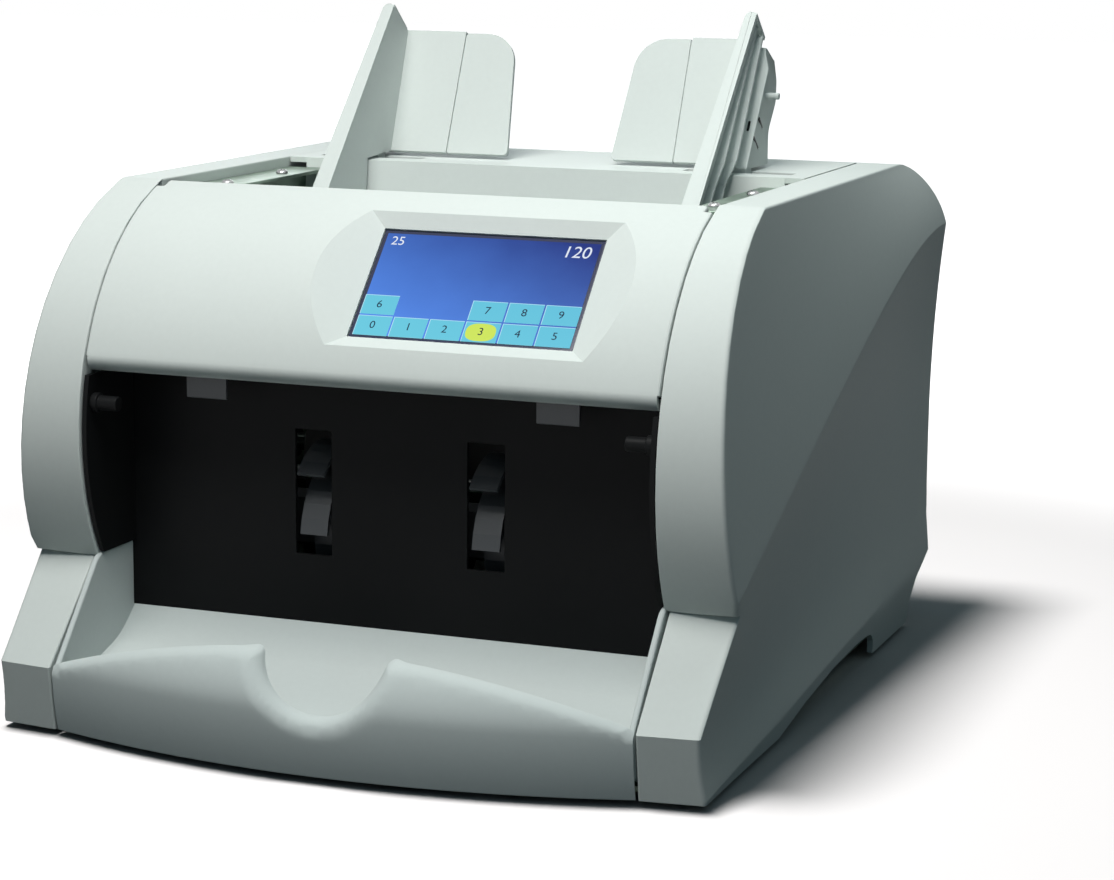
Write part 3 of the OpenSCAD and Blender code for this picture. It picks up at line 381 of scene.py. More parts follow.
def zincFinish(name, colour):  # crystals of the plating show as patches of slightly different gloss
    material, tree, shader = newMaterial(name)
    cells = addNode(tree, "ShaderNodeTexVoronoi", {"Vector": objectPlace(tree)}, Scale=260.0, Randomness=1.0)
    patch = addNode(tree, "ShaderNodeSeparateColor", {"Color": cells.outputs["Color"]}).outputs[0]
    shade = mathNode(tree, "ADD", mathNode(tree, "MULTIPLY", patch, 0.2), 0.85)
    rough = mathNode(tree, "ADD", mathNode(tree, "MULTIPLY", patch, 0.16), 0.4)
    linkSockets(tree, shader, Base_Color=shadeColour(tree, (*colour, 1), shade), Roughness=rough)
    setSockets(shader, Metallic=1.0)
    addBump(tree, shader, patch, 0.12, 0.03)
    return material


def boardFinish(name, mask, copper):  # solder mask with faint tracks under it
    material, tree, shader = newMaterial(name)
    dim = (mask[0] * 0.8, mask[1] * 0.85, mask[2] * 0.8, 1)
    brick = addNode(tree, "ShaderNodeTexBrick", {"Vector": objectPlace(tree)}, Scale=60.0, Color1=(*mask, 1),
                    Color2=dim, Mortar=(*copper, 1), Mortar_Size=0.03)
    skin = useGroup(tree, "grain", Grain=700.0, Roughness=0.35)
    linkSockets(tree, shader, Base_Color=brick.outputs["Color"], Roughness=skin.outputs["Roughness"])
    addBump(tree, shader, brick.outputs["Fac"], 0.3, 0.05)
    return material


finishes = {
    "pale_plastic": plasticFinish("palePlastic", (0.60, 0.64, 0.62), 0.5, shine=0.01),
    # painted shade: the covers' plastic again, made a little darker and bluer
    "tray_plastic": plasticFinish("trayPlastic", (0.56, 0.61, 0.60), 0.5, shine=0.01),
    "black_plastic": plasticFinish("blackPlastic", (0.008, 0.0085, 0.009), 0.42, 900.0, 0.2, 0.35, 0.04,
                                   shine=0.06),
    "dark_plastic": plasticFinish("darkPlastic", (0.045, 0.05, 0.055), 0.45, 1100.0, 0.15, 0.3, 0.06),
    "disc_plastic": plasticFinish("discPlastic", (0.56, 0.54, 0.46), 0.35),
    "rubber": plasticFinish("blackRubber", (0.02, 0.021, 0.022), 0.75, 600.0, 0.25, 0.6, 0.05),
    "zinc_steel": zincFinish("zincSteel", (0.28, 0.36, 0.30)),
    "bright_steel": metalFinish("brightSteel", (0.38, 0.39, 0.39), 0.28),
    "motor_case": metalFinish("motorCase", (0.22, 0.23, 0.24), 0.38, 500.0),
    "supply_case": metalFinish("supplyCase", (0.55, 0.57, 0.56), 0.36, 700.0),
    "circuit_board": boardFinish("circuitBoard", (0.02, 0.14, 0.06), (0.08, 0.24, 0.1)),
    "screen_glass": plasticFinish("screenEdge", (0.01, 0.015, 0.05), 0.12, 1500.0, 0.1, 0.02, 0.0),
}
nodeSlot = {part["node"]: part["material_slot"] for part in frame["record"]["subparts"]}
for nodeName, nodeObject in frame["nodes"].items():  # every solid that stays gets its procedural finish
    nodeObject.data.materials.clear()
    nodeObject.data.materials.append(finishes[nodeSlot[nodeName]])
print("finishes made:", len(finishes))


# Geometry node trees for what repeats

def newTree(name, inputs):
    shape = ("Geometry", "NodeSocketGeometry")
    return newGroup(name, [(*shape, None), *inputs], [shape], "GeometryNodeTree")


def setOut(tree, given, result, shape, turn):  # a copy of the shape on every point, as one mesh
    copies = addNode(tree, "GeometryNodeInstanceOnPoints", {
        "Points": given.outputs["Geometry"], "Instance": shape, "Rotation": turn})
    whole = addNode(tree, "GeometryNodeRealizeInstances", {"Geometry": copies.outputs[0]})
    dressed = addNode(tree, "GeometryNodeSetMaterial", {
        "Geometry": whole.outputs[0], "Material": given.outputs["Finish"]})
    tree.links.new(dressed.outputs[0], result.inputs[0])


def aimTurn(tree):  # turns Z to the direction stored on the point
    aim = addNode(tree, "GeometryNodeInputNamedAttribute", data_type="FLOAT_VECTOR", Name="aim")
    return addNode(tree, "FunctionNodeAlignRotationToVector", {"Vector": aim.outputs[0]}, axis="Z").outputs[0]


def inMetres(tree, given, *labels):
    return [mathNode(tree, "MULTIPLY", given.outputs[label], mm) for label in labels]


def boxNode(tree, x, y, z, lift):  # a block with its middle moved along Z
    size = addNode(tree, "ShaderNodeCombineXYZ", {"X": x, "Y": y, "Z": z})
    move = addNode(tree, "ShaderNodeCombineXYZ", {"Z": lift})
    block = addNode(tree, "GeometryNodeMeshCube", {"Size": size.outputs[0]})
    return addNode(tree, "GeometryNodeTransform", {
        "Geometry": block.outputs[0], "Translation": move.outputs[0]}).outputs[0]


def makeKeyTree():
    tree, given, result = newTree("keySet", [
        ("Width", floatKind, 10.0), ("Height", floatKind, 8.0), ("Thick", floatKind, 0.4),
        ("Finish", "NodeSocketMaterial", None)])
    width, height, thick = inMetres(tree, given, "Width", "Height", "Thick")
    pad = boxNode(tree, width, height, thick, mathNode(tree, "MULTIPLY", thick, -0.5))
    setOut(tree, given, result, pad, aimTurn(tree))
    return tree


def makeScrewTree():  # a dome with a cross cut in it, turned at random about its own axis
    tree, given, result = newTree("screwSet", [
        ("Radius", floatKind, 3.0), ("Height", floatKind, 2.0), ("Slot", floatKind, 0.8),
        ("Seed", "NodeSocketInt", 4), ("Finish", "NodeSocketMaterial", None)])
    radius, height, slot = inMetres(tree, given, "Radius", "Height", "Slot")
    press = mathNode(tree, "DIVIDE", height, radius)
    flat = addNode(tree, "ShaderNodeCombineXYZ", {"Z": press}, X=1.0, Y=1.0)
    ball = addNode(tree, "GeometryNodeMeshUVSphere", {"Radius": radius}, Segments=28, Rings=16)
    dome = addNode(tree, "GeometryNodeTransform", {"Geometry": ball.outputs[0], "Scale": flat.outputs[0]})
    long = mathNode(tree, "MULTIPLY", radius, 1.15)
    deep = mathNode(tree, "MULTIPLY", height, 0.9)
    wide = mathNode(tree, "MULTIPLY", radius, 3.0)
    drop = mathNode(tree, "MULTIPLY", wide, -0.5)
    head = addNode(tree, "GeometryNodeMeshBoolean", {"Mesh 1": dome.outputs[0]}, operation="DIFFERENCE")
    for size in ((long, slot, deep, height), (slot, long, deep, height), (wide, wide, wide, drop)):
        tree.links.new(boxNode(tree, *size), head.inputs["Mesh 2"])  # the cross, then the ball's lower half
    roll = addNode(tree, "FunctionNodeRandomValue", {"Seed": given.outputs["Seed"]}, data_type="FLOAT")
    angle = mathNode(tree, "MULTIPLY", roll.outputs[1], math.pi / 2)
    spin = addNode(tree, "FunctionNodeAxisAngleToRotation", {"Angle": angle}, Axis=(0, 0, 1))
    turn = addNode(tree, "FunctionNodeRotateRotation", {
        "Rotation": aimTurn(tree), "Rotate By": spin.outputs[0]}, rotation_space="LOCAL")
    setOut(tree, given, result, head.outputs[0], turn.outputs[0])
    return tree


def growTree(name, tree, points, aims, **values):  # points in millimetres, with a direction for each
    mesh = bpy.data.meshes.new(name)
    mesh.from_pydata([Vector(p) * mm for p in points], [], [])
    stored = mesh.attributes.new("aim", "FLOAT_VECTOR", "POINT")
    for k, aim in enumerate(aims):
        stored.data[k].vector = aim
    holder = bpy.data.objects.new(name, mesh)
    grow = holder.modifiers.new("grow", "NODES")
    grow.node_group = tree
    for item in tree.interface.items_tree:
        if item.in_out == "INPUT" and item.name in values:
            grow[item.identifier] = values[item.name]
    bpy.context.scene.collection.objects.link(holder)
    bakeObject(holder)
    bm = bmesh.new()
    bm.from_mesh(holder.data)
    baked = holder.data
    bpy.data.objects.remove(holder)
    bpy.data.meshes.remove(baked)
    return bm


# Camera at the photograph's place

view = {"place": (0.4681, -1.1561, 0.3357), "azimuth": 20.74, "elevation": 10.53, "roll": 0.52,
        "lens": 94.2, "sensor": 36.0}


def makeCamera():
    azimuth = math.radians(view["azimuth"])
    elevation = math.radians(view["elevation"])
    roll = math.radians(view["roll"])
    back = Vector((math.sin(azimuth) * math.cos(elevation), -math.cos(azimuth) * math.cos(elevation),
                   math.sin(elevation)))
    right = (-back).cross(Vector((0, 0, 1))).normalized()
    up = right.cross(-back)
    across = right * math.cos(roll) + up * math.sin(roll)
    above = up * math.cos(roll) - right * math.sin(roll)
    turn = Matrix((across, above, back)).transposed().to_4x4()
    data = bpy.data.cameras.new("camera")
    data.lens = view["lens"]
    data.sensor_width = view["sensor"]
    data.dof.use_dof = False
    camera = bpy.data.objects.new("camera", data)
    camera.matrix_world = Matrix.Translation(view["place"]) @ turn
    bpy.context.scene.collection.objects.link(camera)
    bpy.context.scene.camera = camera


makeCamera()

# Body lines that the covers, the panel and the tray share

coverLow, coverHigh = boxOf("side_cover_right")
panelHigh = boxOf("front_panel")[1]
body = {
    "inner": coverLow.x, "wide": coverHigh.x, "front": coverLow.y, "rear": coverHigh.y,
    "ground": coverLow.z, "deck": coverHigh.z,
    "arcRadius": 103.5, "arcY": -37.5, "topAngle": 73.04, "waist": 68.5, "ridge": 29.0, "footLean": 4.0,
    "waistStep": 1.0, "heel": 0.7,
}
body["arcZ"] = body["deck"] - body["arcRadius"] * math.sin(math.radians(body["topAngle"]))


def towerFront(z):
    return body["arcY"] - math.sqrt(body["arcRadius"] ** 2 - (z - body["arcZ"]) ** 2)


# Side covers

cover = {
    "topInset": 13.5, "creaseRear": 187.6, "creaseSlope": 0.47, "creaseBend": 80.0, "creaseTaper": 2.4,
    "lowInset": 5.3, "lowTaper": 2.8, "lowStart": 1.0, "kick": 34.0, "kickTop": 31.0, "kickRound": 2.3,
    "cove": 1.6, "flareRear": 1.9, "flareFront": 3.2, "flareRise": 30.0,
    "crown": 0.45, "scoopRear": 93.0, "scoopFront": 78.0, "roundDepth": 45.0, "roundHeight": 30.4,
    "footIn": 2.0, "footSkew": 0.115, "corner": 1.8, "rearCorner": 1.0, "topCorner": 1.2, "innerEdge": 0.9,
    "flange": 7.0, "flangeFade": 12.0, "footFade": 10.0, "least": 0.6, "wall": 2.6, "columns": 44,
    "bottom": ((-61, 0), (-25, 5.4), (15, 9.6), (38, 10.8), (55, 11.3), (72, 11.0), (79, 10.2), (83, 8.6),
               (85.4, 6.0), (86.3, 3.0), (86.5, 0)),
}


def spanToRear(y):
    return (body["rear"] - y) / (body["rear"] - body["front"])


def creaseZ(y):
    run = math.hypot(body["rear"] - y, cover["creaseBend"]) - cover["creaseBend"]
    return cover["creaseRear"] - cover["creaseSlope"] * run


def creaseX(y):
    return body["wide"] - cover["creaseTaper"] * spanToRear(y)


def lowX(y):
    return body["wide"] - cover["lowInset"] - cover["lowTaper"] * spanToRear(y)


def lowZ(y):  # the line under which the side turns in towards the bottom edge
    start = body["ground"] + cover["lowStart"]
    return lerp(cover["kickTop"], start, spanToRear(y))


def bottomZ(y):  # the bottom edge lifts behind the front foot and drops again at the rear one
    for (y0, z0), (y1, z1) in zip(cover["bottom"], cover["bottom"][1:]):
        if y0 <= y <= y1:
            return body["ground"] + lerp(z0, z1, (y - y0) / (y1 - y0))
    return body["ground"]


def sideX(y, z):
    top = body["wide"] - cover["topInset"]
    crease = creaseZ(y)
    if z >= crease:
        t = (body["deck"] - z) / (body["deck"] - crease)
        return top + (creaseX(y) - top) * t * (1 + cover["crown"] * (1 - t))
    scoop = lerp(cover["scoopRear"], cover["scoopFront"], spanToRear(y))
    x = lowX(y) + (creaseX(y) - lowX(y)) * max(0, 1 - (crease - z) / scoop) ** 2
    flare = lerp(cover["flareRear"], cover["flareFront"], spanToRear(y))
    x += flare * clamp((lowZ(y) + cover["flareRise"] - z) / cover["flareRise"]) ** 2
    under = max(0, lowZ(y) - z) / (cover["kickTop"] - body["ground"])
    return x - cover["cove"] * under


def frontLine(z):
    ridge, waist = body["ridge"], body["waist"]
    heel = waist - body["heel"]
    if z <= ridge:
        return body["front"] + body["footLean"] * (ridge - z) / (ridge - body["ground"])
    if z <= heel:
        return lerp(body["front"], towerFront(waist) + body["waistStep"], (z - ridge) / (heel - ridge))
    if z < waist:
        return lerp(towerFront(waist) + body["waistStep"], towerFront(waist), (z - heel) / (waist - heel))
    return towerFront(z)


def rearLine(z):
    if z > cover["creaseRear"]:
        t = (z - cover["creaseRear"]) / cover["roundHeight"]
        return body["rear"] - cover["roundDepth"] * (1 - math.sqrt(max(0, 1 - t * t)))
    if z < cover["kickTop"]:
        t = clamp((cover["kickTop"] - z) / (cover["kickTop"] - body["ground"]))
        return body["rear"] - cover["kick"] * (1 - (1 - t) ** cover["kickRound"])
    return body["rear"]


def footShare(z):  # 1 on the foot, fading to 0 a little above the waist
    return smooth((body["waist"] + cover["footFade"] - z) / cover["footFade"])


def sideStart(z):
    width = body["wide"] - body["inner"]
    return frontLine(z) + cover["corner"] + cover["footSkew"] * (width - cover["corner"]) * footShare(z)


def coverLevels():  # one entry per row: how its height follows from y, and its height at the front
    low = lowZ(sideStart(body["ground"] + 2))
    heel = body["waist"] - body["heel"]
    crease = 80.0  # a first guess at the crease's height at the front
    for _ in range(30):
        crease = lerp(crease, creaseZ(sideStart(crease)), 0.5)
    rows = [("under", t, lerp(body["ground"], low, t)) for t in (0, 0.35, 0.7)]
    heights = [lerp(low, body["ridge"], t) for t in (0, 0.25, 0.5, 0.75, 0.94)]
    heights += [lerp(body["ridge"], heel, t) for t in (0, 0.05, 0.2, 0.4, 0.6, 0.8, 0.96, 1)]
    heights += [body["waist"], body["waist"] + 1, lerp(body["waist"], crease, 0.6), crease - 0.6]
    for z in heights:
        y = sideStart(z)
        rows.append(("side", (z - lowZ(y)) / (creaseZ(y) - lowZ(y)), z))
    top = body["deck"] - cover["topCorner"]
    for t in (0, 0.012, 0.05, 0.12, 0.2, 0.28, 0.36, 0.44, 0.52, 0.6, 0.68, 0.76, 0.84, 0.9, 0.95, 1):
        rows.append(("crown", t, lerp(crease, top, t)))
    rows += [("top", a, top + cover["topCorner"] * math.sin(math.radians(a))) for a in quarter]
    return rows


def levelZ(kind, t, z, y):
    low = max(lowZ(y), bottomZ(y) + cover["least"])
    if kind == "under":
        return lerp(bottomZ(y), low, t)
    if kind == "side":
        return lerp(low, creaseZ(y), t)
    if kind == "crown":
        return lerp(creaseZ(y), body["deck"] - cover["topCorner"], t)
    return z


def rowEnd(kind, t, z):  # y at the rear end of a row
    y = body["rear"]
    for _ in range(40):
        y = lerp(y, rearLine(levelZ(kind, t, z, y)) - cover["rearCorner"], 0.6)
    return y


def skinX(kind, t, y, z):  # the rounded top edge draws its rows in
    pull = cover["topCorner"] * (1 - math.cos(math.radians(t))) if kind == "top" else 0
    return sideX(y, min(z, body["deck"] - cover["topCorner"])) - pull


def sidePoint(kind, t, z, y):
    height = levelZ(kind, t, z, y)
    return skinX(kind, t, y, height), y, height


def columnShares():
    first, last = sideStart(body["ground"]), rowEnd("under", 0, body["ground"])
    shares = {k / cover["columns"] for k in range(1, cover["columns"] + 1)}
    shares |= {(y - first) / (last - first) for y, _ in cover["bottom"]}
    return sorted(shares)


def coverRow(kind, t, zFront, shares):
    onFoot = zFront < body["waist"] - 0.1
    inner = body["inner"] + (cover["footIn"] if onFoot else 0)
    skew = cover["footSkew"] if onFoot else 0
    edge, corner, rearCorner = cover["innerEdge"], cover["corner"], cover["rearCorner"]
    first, last = sideStart(zFront), rowEnd(kind, t, zFront)
    y = frontLine(zFront)
    x = skinX(kind, t, first, zFront)
    turn = y + skew * (x - corner - inner)
    back = cover["flange"] * clamp((body["deck"] - zFront) / cover["flangeFade"])
    row = [(inner, y + back + edge, zFront), (inner, y + edge, zFront),
           (inner + softShare * edge, y + softShare * edge, zFront), (inner + edge, y, zFront)]
    row += [(x - corner + corner * s, turn + corner * (1 - c), zFront) for s, c in cornerTurns(0, *quarter)]
    row += [sidePoint(kind, t, zFront, lerp(first, last, share)) for share in shares]
    x, y, z = row[-1]
    row += [(x - rearCorner * (1 - c), y + rearCorner * s, z) for s, c in cornerTurns(*quarter)]
    row.append((body["inner"], y + rearCorner, z))
    return row


def makeCover():
    shares = columnShares()
    rows = [coverRow(kind, t, z, shares) for kind, t, z in coverLevels()]
    edge, deck, inner = cover["innerEdge"], body["deck"], body["inner"]
    soft = softShare * edge
    strip = []
    for x, y, z in rows[-1][4:-1]:  # the top strip runs in to the inner edge and turns down there
        strip.append([(x, y, z), (inner + edge, y, deck), (inner + soft, y, deck - soft),
                      (inner, y, deck - edge), (inner, y, deck - cover["flange"])])
    return gridMesh([rows, strip])


def makeCovers():
    for side, name in sides:
        bm = makeCover()
        if side < 0:
            mirrorMesh(bm)
        faceOutwards(bm, (side * 100, 20, 100))
        makePiece("sideCover" + name, bm, "chassis", "pale_plastic", ["side_cover_" + name.lower()],
                  cover["wall"], sharp=24)
    print("side covers made")


coverFlange = {"inner": 139.0, "outer": 147.5, "front": -125.0, "rear": 150.0, "low": 12.7, "thick": 1.4}


def makeCoverFlanges():  # strips inside the covers' lower edges, which lie on the base pan
    size = coverFlange
    for side, name in sides:
        bm = bmesh.new()
        strip = rectangle(size["inner"], size["outer"], size["front"], size["rear"])
        addPlate(bm, strip, lambda x, y, z: (x, y, z), size["low"], size["low"] + size["thick"])
        if side < 0:
            mirrorMesh(bm)
        makePiece("coverFlange" + name, bm, "chassis", "pale_plastic", (), 0, 0.3)


makeCovers()
makeCoverFlanges()

# Front panel with the screen's sloping border

panel = {
    "half": panelHigh.x + 0.4, "screenX": 36.0, "screenW": 95.0, "screenH": 54.0, "tilt": 46.0, "sink": 2.8,
    "border": 7.0, "slope": 24.0, "lipRadius": 5.0, "lipAngle": 19.0, "lipTurn": 172.0, "floor": 2.5,
    "topEdge": 1.6, "topFlange": 3.4, "sideEdge": 0.9, "sideFlange": 5.0, "notchWide": 3.4, "notchDeep": 7.0,
    "wall": 2.2, "columnsLeft": 12, "columnsMid": 16, "columnsRight": 8,
}
chordHalf = panel["screenH"] / 2 + panel["border"]
screenOff = math.sqrt(body["arcRadius"] ** 2 - chordHalf ** 2) - panel["sink"]
tiltTurn = math.radians(panel["tilt"])
screenOrigin = Vector((panel["screenX"], body["arcY"] - screenOff * math.sin(tiltTurn),
                       body["arcZ"] + screenOff * math.cos(tiltTurn)))
screenTurn = Matrix.Rotation(tiltTurn, 3, "X")
borderRise = math.tan(math.radians(panel["slope"]))


def screenPoint(x, y, z):  # from the screen's own plane to the machine's frame
    return tuple(screenOrigin + screenTurn @ Vector((x, y, z)))


def curveHeight(y):  # how far the curved front stands over the screen's plane
    return math.sqrt(body["arcRadius"] ** 2 - y * y) - screenOff


def borderEnd():  # where the border's corner runs out into the curve
    d = panel["border"]
    for _ in range(40):
        d = lerp(d, curveHeight(panel["screenH"] / 2 + d) / borderRise, 0.5)
    return d


panelReach = panel["screenH"] / 2 + borderEnd()
panelHole = math.degrees(math.asin(panelReach / body["arcRadius"]))  # half of the opening, as an angle
panelTop = body["topAngle"] - (90 - panel["tilt"])


def stepsBetween(a, b, count):
    return [lerp(a, b, k / count) for k in range(count + 1)]


def curvePoint(x, along, depth):  # along is the angle from the screen's middle, in degrees
    radius = body["arcRadius"] - depth
    a = math.radians(along)
    return screenPoint(x - panel["screenX"], radius * math.sin(a), radius * math.cos(a) - screenOff)


def panelHalf(along):  # narrower at the notches in the top corners
    arc = math.radians(panelTop - along) * body["arcRadius"]
    return panel["half"] - (panel["notchWide"] if arc < panel["notchDeep"] else 0)


def panelAngles():
    low = panel["lipAngle"] - (90 - panel["tilt"])
    window = math.degrees(math.asin(panel["screenH"] / 2 / body["arcRadius"]))
    notch = panelTop - math.degrees(panel["notchDeep"] / body["arcRadius"])
    edge = panelTop - math.degrees(panel["topEdge"] / body["arcRadius"])
    angles = []
    for start, end, count in ((low, -panelHole, 6), (-panelHole, -window, 4), (-window, window, 20),
                              (window, panelHole, 4), (panelHole, notch - 0.5, 3)):
        angles += stepsBetween(start, end, count)[:-1]
    return angles + [notch - 0.5, notch - 0.02, notch + 0.02, lerp(notch, edge, 0.5), edge]


def panelColumns(along):  # the columns left of the screen's opening, across it and right of it
    half = panelHalf(along) - panel["sideEdge"]
    y = body["arcRadius"] * math.sin(math.radians(along))
    inHole = abs(along) < panelHole
    border = curveHeight(y) / borderRise if inHole else panelReach - panel["screenH"] / 2
    width = panel["screenW"] / 2 + border
    left, right = panel["screenX"] - width, panel["screenX"] + width
    return (stepsBetween(-half, left, panel["columnsLeft"]), stepsBetween(left, right, panel["columnsMid"]),
            stepsBetween(right, half, panel["columnsRight"]))


def panelSide(along, end):  # the turned-in edge at one side of a row
    half, edge = panelHalf(along), panel["sideEdge"]
    return [curvePoint(end * half, along, panel["sideFlange"]), curvePoint(end * half, along, edge),
            curvePoint(end * (half - softShare * edge), along, softShare * edge)]


def borderPatches(angles):
    halfW, halfH = panel["screenW"] / 2, panel["screenH"] / 2
    heights = [body["arcRadius"] * math.sin(math.radians(a)) for a in angles if abs(a) <= panelHole + tiny]
    patches = []
    for end in (-1, 1):
        rows = []
        for y in heights:
            steps = stepsBetween(halfW + max(0, abs(y) - halfH), halfW + curveHeight(y) / borderRise, 6)
            rows.append([screenPoint(end * x, y, (x - halfW) * borderRise) for x in steps])
        patches.append(rows)
        rows = []
        for y in [h for h in heights if end * h >= halfH - tiny]:
            width = halfW + abs(y) - halfH
            steps = stepsBetween(-width, width, panel["columnsMid"])
            rows.append([screenPoint(x, y, (abs(y) - halfH) * borderRise) for x in steps])
        patches.append(rows)
    ys = [y for y in heights if abs(y) <= halfH + tiny]
    xs = stepsBetween(-halfW, halfW, panel["columnsMid"])
    depths = (0, -panel["floor"])  # the walls of the well in which the screen sits
    patches += [[[screenPoint(end * halfW, y, z) for y in ys] for z in depths] for end in (-1, 1)]
    patches += [[[screenPoint(x, end * halfH, z) for x in xs] for z in depths] for end in (-1, 1)]
    return patches


def wholeRow(along):
    left, middle, right = panelColumns(along)
    return left + middle[1:-1] + right


def lipRows(along):  # the lower edge rolls under
    xs = wholeRow(along)
    radius = panel["lipRadius"]
    rows = []
    for k in range(13):
        turn = math.radians(panel["lipTurn"] * k / 12)
        depth = radius - radius * math.cos(turn)
        shift = math.degrees(radius * math.sin(turn) / (body["arcRadius"] - depth))
        rows.append([curvePoint(x, along - shift, depth) for x in xs])
    return rows


def topRows(along):  # the top edge turns down into a short flange
    xs = wholeRow(along)
    radius = panel["topEdge"]
    rows = []
    for k in range(6):
        turn = math.radians(90 * k / 5)
        shift = math.degrees(radius * math.sin(turn) / body["arcRadius"])
        rows.append([curvePoint(x, along + shift, radius - radius * math.cos(turn)) for x in xs])
    shift = math.degrees(radius / body["arcRadius"])
    rows.append([curvePoint(x, along + shift, panel["topFlange"]) for x in xs])
    return rows


def makeFrontPanel():
    angles = panelAngles()
    leftRows, rightRows, aboveRows, belowRows = [], [], [], []
    for along in angles:
        left, middle, right = [[curvePoint(x, along, 0) for x in part] for part in panelColumns(along)]
        leftRows.append(panelSide(along, -1) + left)
        rightRows.append(right + panelSide(along, 1)[::-1])
        if along >= panelHole - tiny:
            aboveRows.append(middle)
        if along <= -panelHole + tiny:
            belowRows.append(middle)
    patches = [leftRows, rightRows, aboveRows, belowRows, *borderPatches(angles)]
    bm = gridMesh([*patches, lipRows(angles[0]), topRows(angles[-1])])
    faceOutwards(bm, (0, body["arcY"], body["arcZ"]))
    makePiece("frontPanel", bm, "panel", "pale_plastic", ["front_panel"], panel["wall"], sharp=18)
    print("front panel made")


makeFrontPanel()

# Screen: glowing glass, its dark frame, ten keys and plain numbers

screen = {
    "gap": 0.4, "glassTop": -0.5, "glassThick": 2.0, "glassShow": 0.6, "frame": 1.5, "frameDrop": 0.15,
    "keyW": 14.6, "keyH": 9.4, "keyGap": 0.75, "keyLift": 0.12, "keyEdge": 0.35, "rimThick": 0.4,
    "padThick": 0.5, "margin": 1.7, "columns": 6, "upperKeys": (0, 3, 4, 5), "digit": 5.0, "digitLift": 0.1,
    "lit": 3, "litInset": (1.0, 0.5), "litDrop": 0.2, "litSquare": 0.75, "litSink": 0.1, "litLift": 0.05,
    "count": "120", "countAt": (10.5, 6.5), "countSize": 8.0, "countShear": 0.1,
    "batch": "25", "batchAt": (7.0, 5.4), "batchSize": 6.0, "batchShear": 0.0,
}
glowColours = {  # the dark end, the bright end, strength, and how fast it changes across and down
    "screenGlow": ((0.004, 0.022, 0.20), (0.10, 0.30, 0.95), 0.9, (0.0052, 0.0125)),
    "keyGlow": ((0.10, 0.52, 0.72), (0.16, 0.66, 0.80), 0.9, (0.004, 0.01)),
    "keyEdgeGlow": ((0.42, 0.80, 0.95), (0.55, 0.90, 1.0), 0.9, (0.004, 0.01)),
    "litKeyGlow": ((0.62, 0.82, 0.04), (0.70, 0.88, 0.10), 0.9, (0.004, 0.01)),
    "keyInk": ((0.003, 0.004, 0.02), (0.004, 0.008, 0.03), 0.5, (0.004, 0.01)),
    "paleInk": ((0.80, 0.86, 0.95), (0.9, 0.95, 1.0), 0.9, (0.004, 0.01)),
}


def glowFinish(name, dark, bright, strength, fade):  # light that fades over the screen's own plane
    material, tree, shader = newMaterial(name)
    place = objectPlace(tree)
    flat = addNode(tree, "ShaderNodeMapping", {"Vector": place}, vector_type="TEXTURE",
                   Location=screenOrigin * mm, Rotation=(tiltTurn, 0, 0))
    axes = addNode(tree, "ShaderNodeSeparateXYZ", {"Vector": flat.outputs[0]})
    across, down = [mathNode(tree, "MULTIPLY", axes.outputs[k], -fade[k] / mm) for k in (0, 1)]
    cloud = swing(tree, noise(tree, place, 70.0, 3.0), 0.12)
    fall = mathNode(tree, "ADD", mathNode(tree, "ADD", across, down), cloud)
    share = addNode(tree, "ShaderNodeMapRange", {"Value": fall}, From_Min=-0.5, From_Max=0.5)
    colour = mixColour(tree, share.outputs[0], (*dark, 1), (*bright, 1))
    skin = useGroup(tree, "grain", Grain=900.0, Roughness=0.25)
    linkSockets(tree, shader, Emission_Color=colour, Roughness=skin.outputs["Roughness"])
    setSockets(shader, Emission_Strength=strength, Base_Color=(0.01, 0.012, 0.03, 1), Specular_IOR_Level=0.04)
    return material


def screenText(bm, words, x, y, z, size, shear=0.0):
    curve = bpy.data.curves.new("words", "FONT")
    curve.body = words
    curve.size = size * mm
    curve.shear = shear
    curve.align_x = "CENTER"
    curve.align_y = "CENTER"
    holder = bpy.data.objects.new("words", curve)
    bpy.context.scene.collection.objects.link(holder)
    graph = bpy.context.evaluated_depsgraph_get()
    mesh = bpy.data.meshes.new_from_object(holder.evaluated_get(graph), depsgraph=graph)
    place = Matrix.Translation(Vector(screenPoint(x, y, z)) * mm) @ screenTurn.to_4x4()
    mesh.transform(place)
    bm.from_mesh(mesh)
    bpy.data.objects.remove(holder)
    bpy.data.curves.remove(curve)
    bpy.data.meshes.remove(mesh)


def keyPlaces():
    pitchX = screen["keyW"] + screen["keyGap"]
    pitchY = screen["keyH"] + screen["keyGap"]
    left = -screen["columns"] * pitchX / 2 + pitchX / 2
    low = -panel["screenH"] / 2 + screen["margin"] + screen["keyH"] / 2
    places = [(left + k * pitchX, low) for k in range(screen["columns"])]
    return places + [(left + k * pitchX, low + pitchY) for k in screen["upperKeys"]]


def litOutline(x, y):  # an ellipse, squared a little
    insetX, insetY = screen["litInset"]
    outline = []
    for a, b in circle(0, 0, 1, 32):
        a, b = [math.copysign(abs(v) ** screen["litSquare"], v) for v in (a, b)]
        outline.append((x + (screen["keyW"] / 2 - insetX) * a,
                        y - screen["litDrop"] + (screen["keyH"] / 2 - insetY) * b))
    return outline


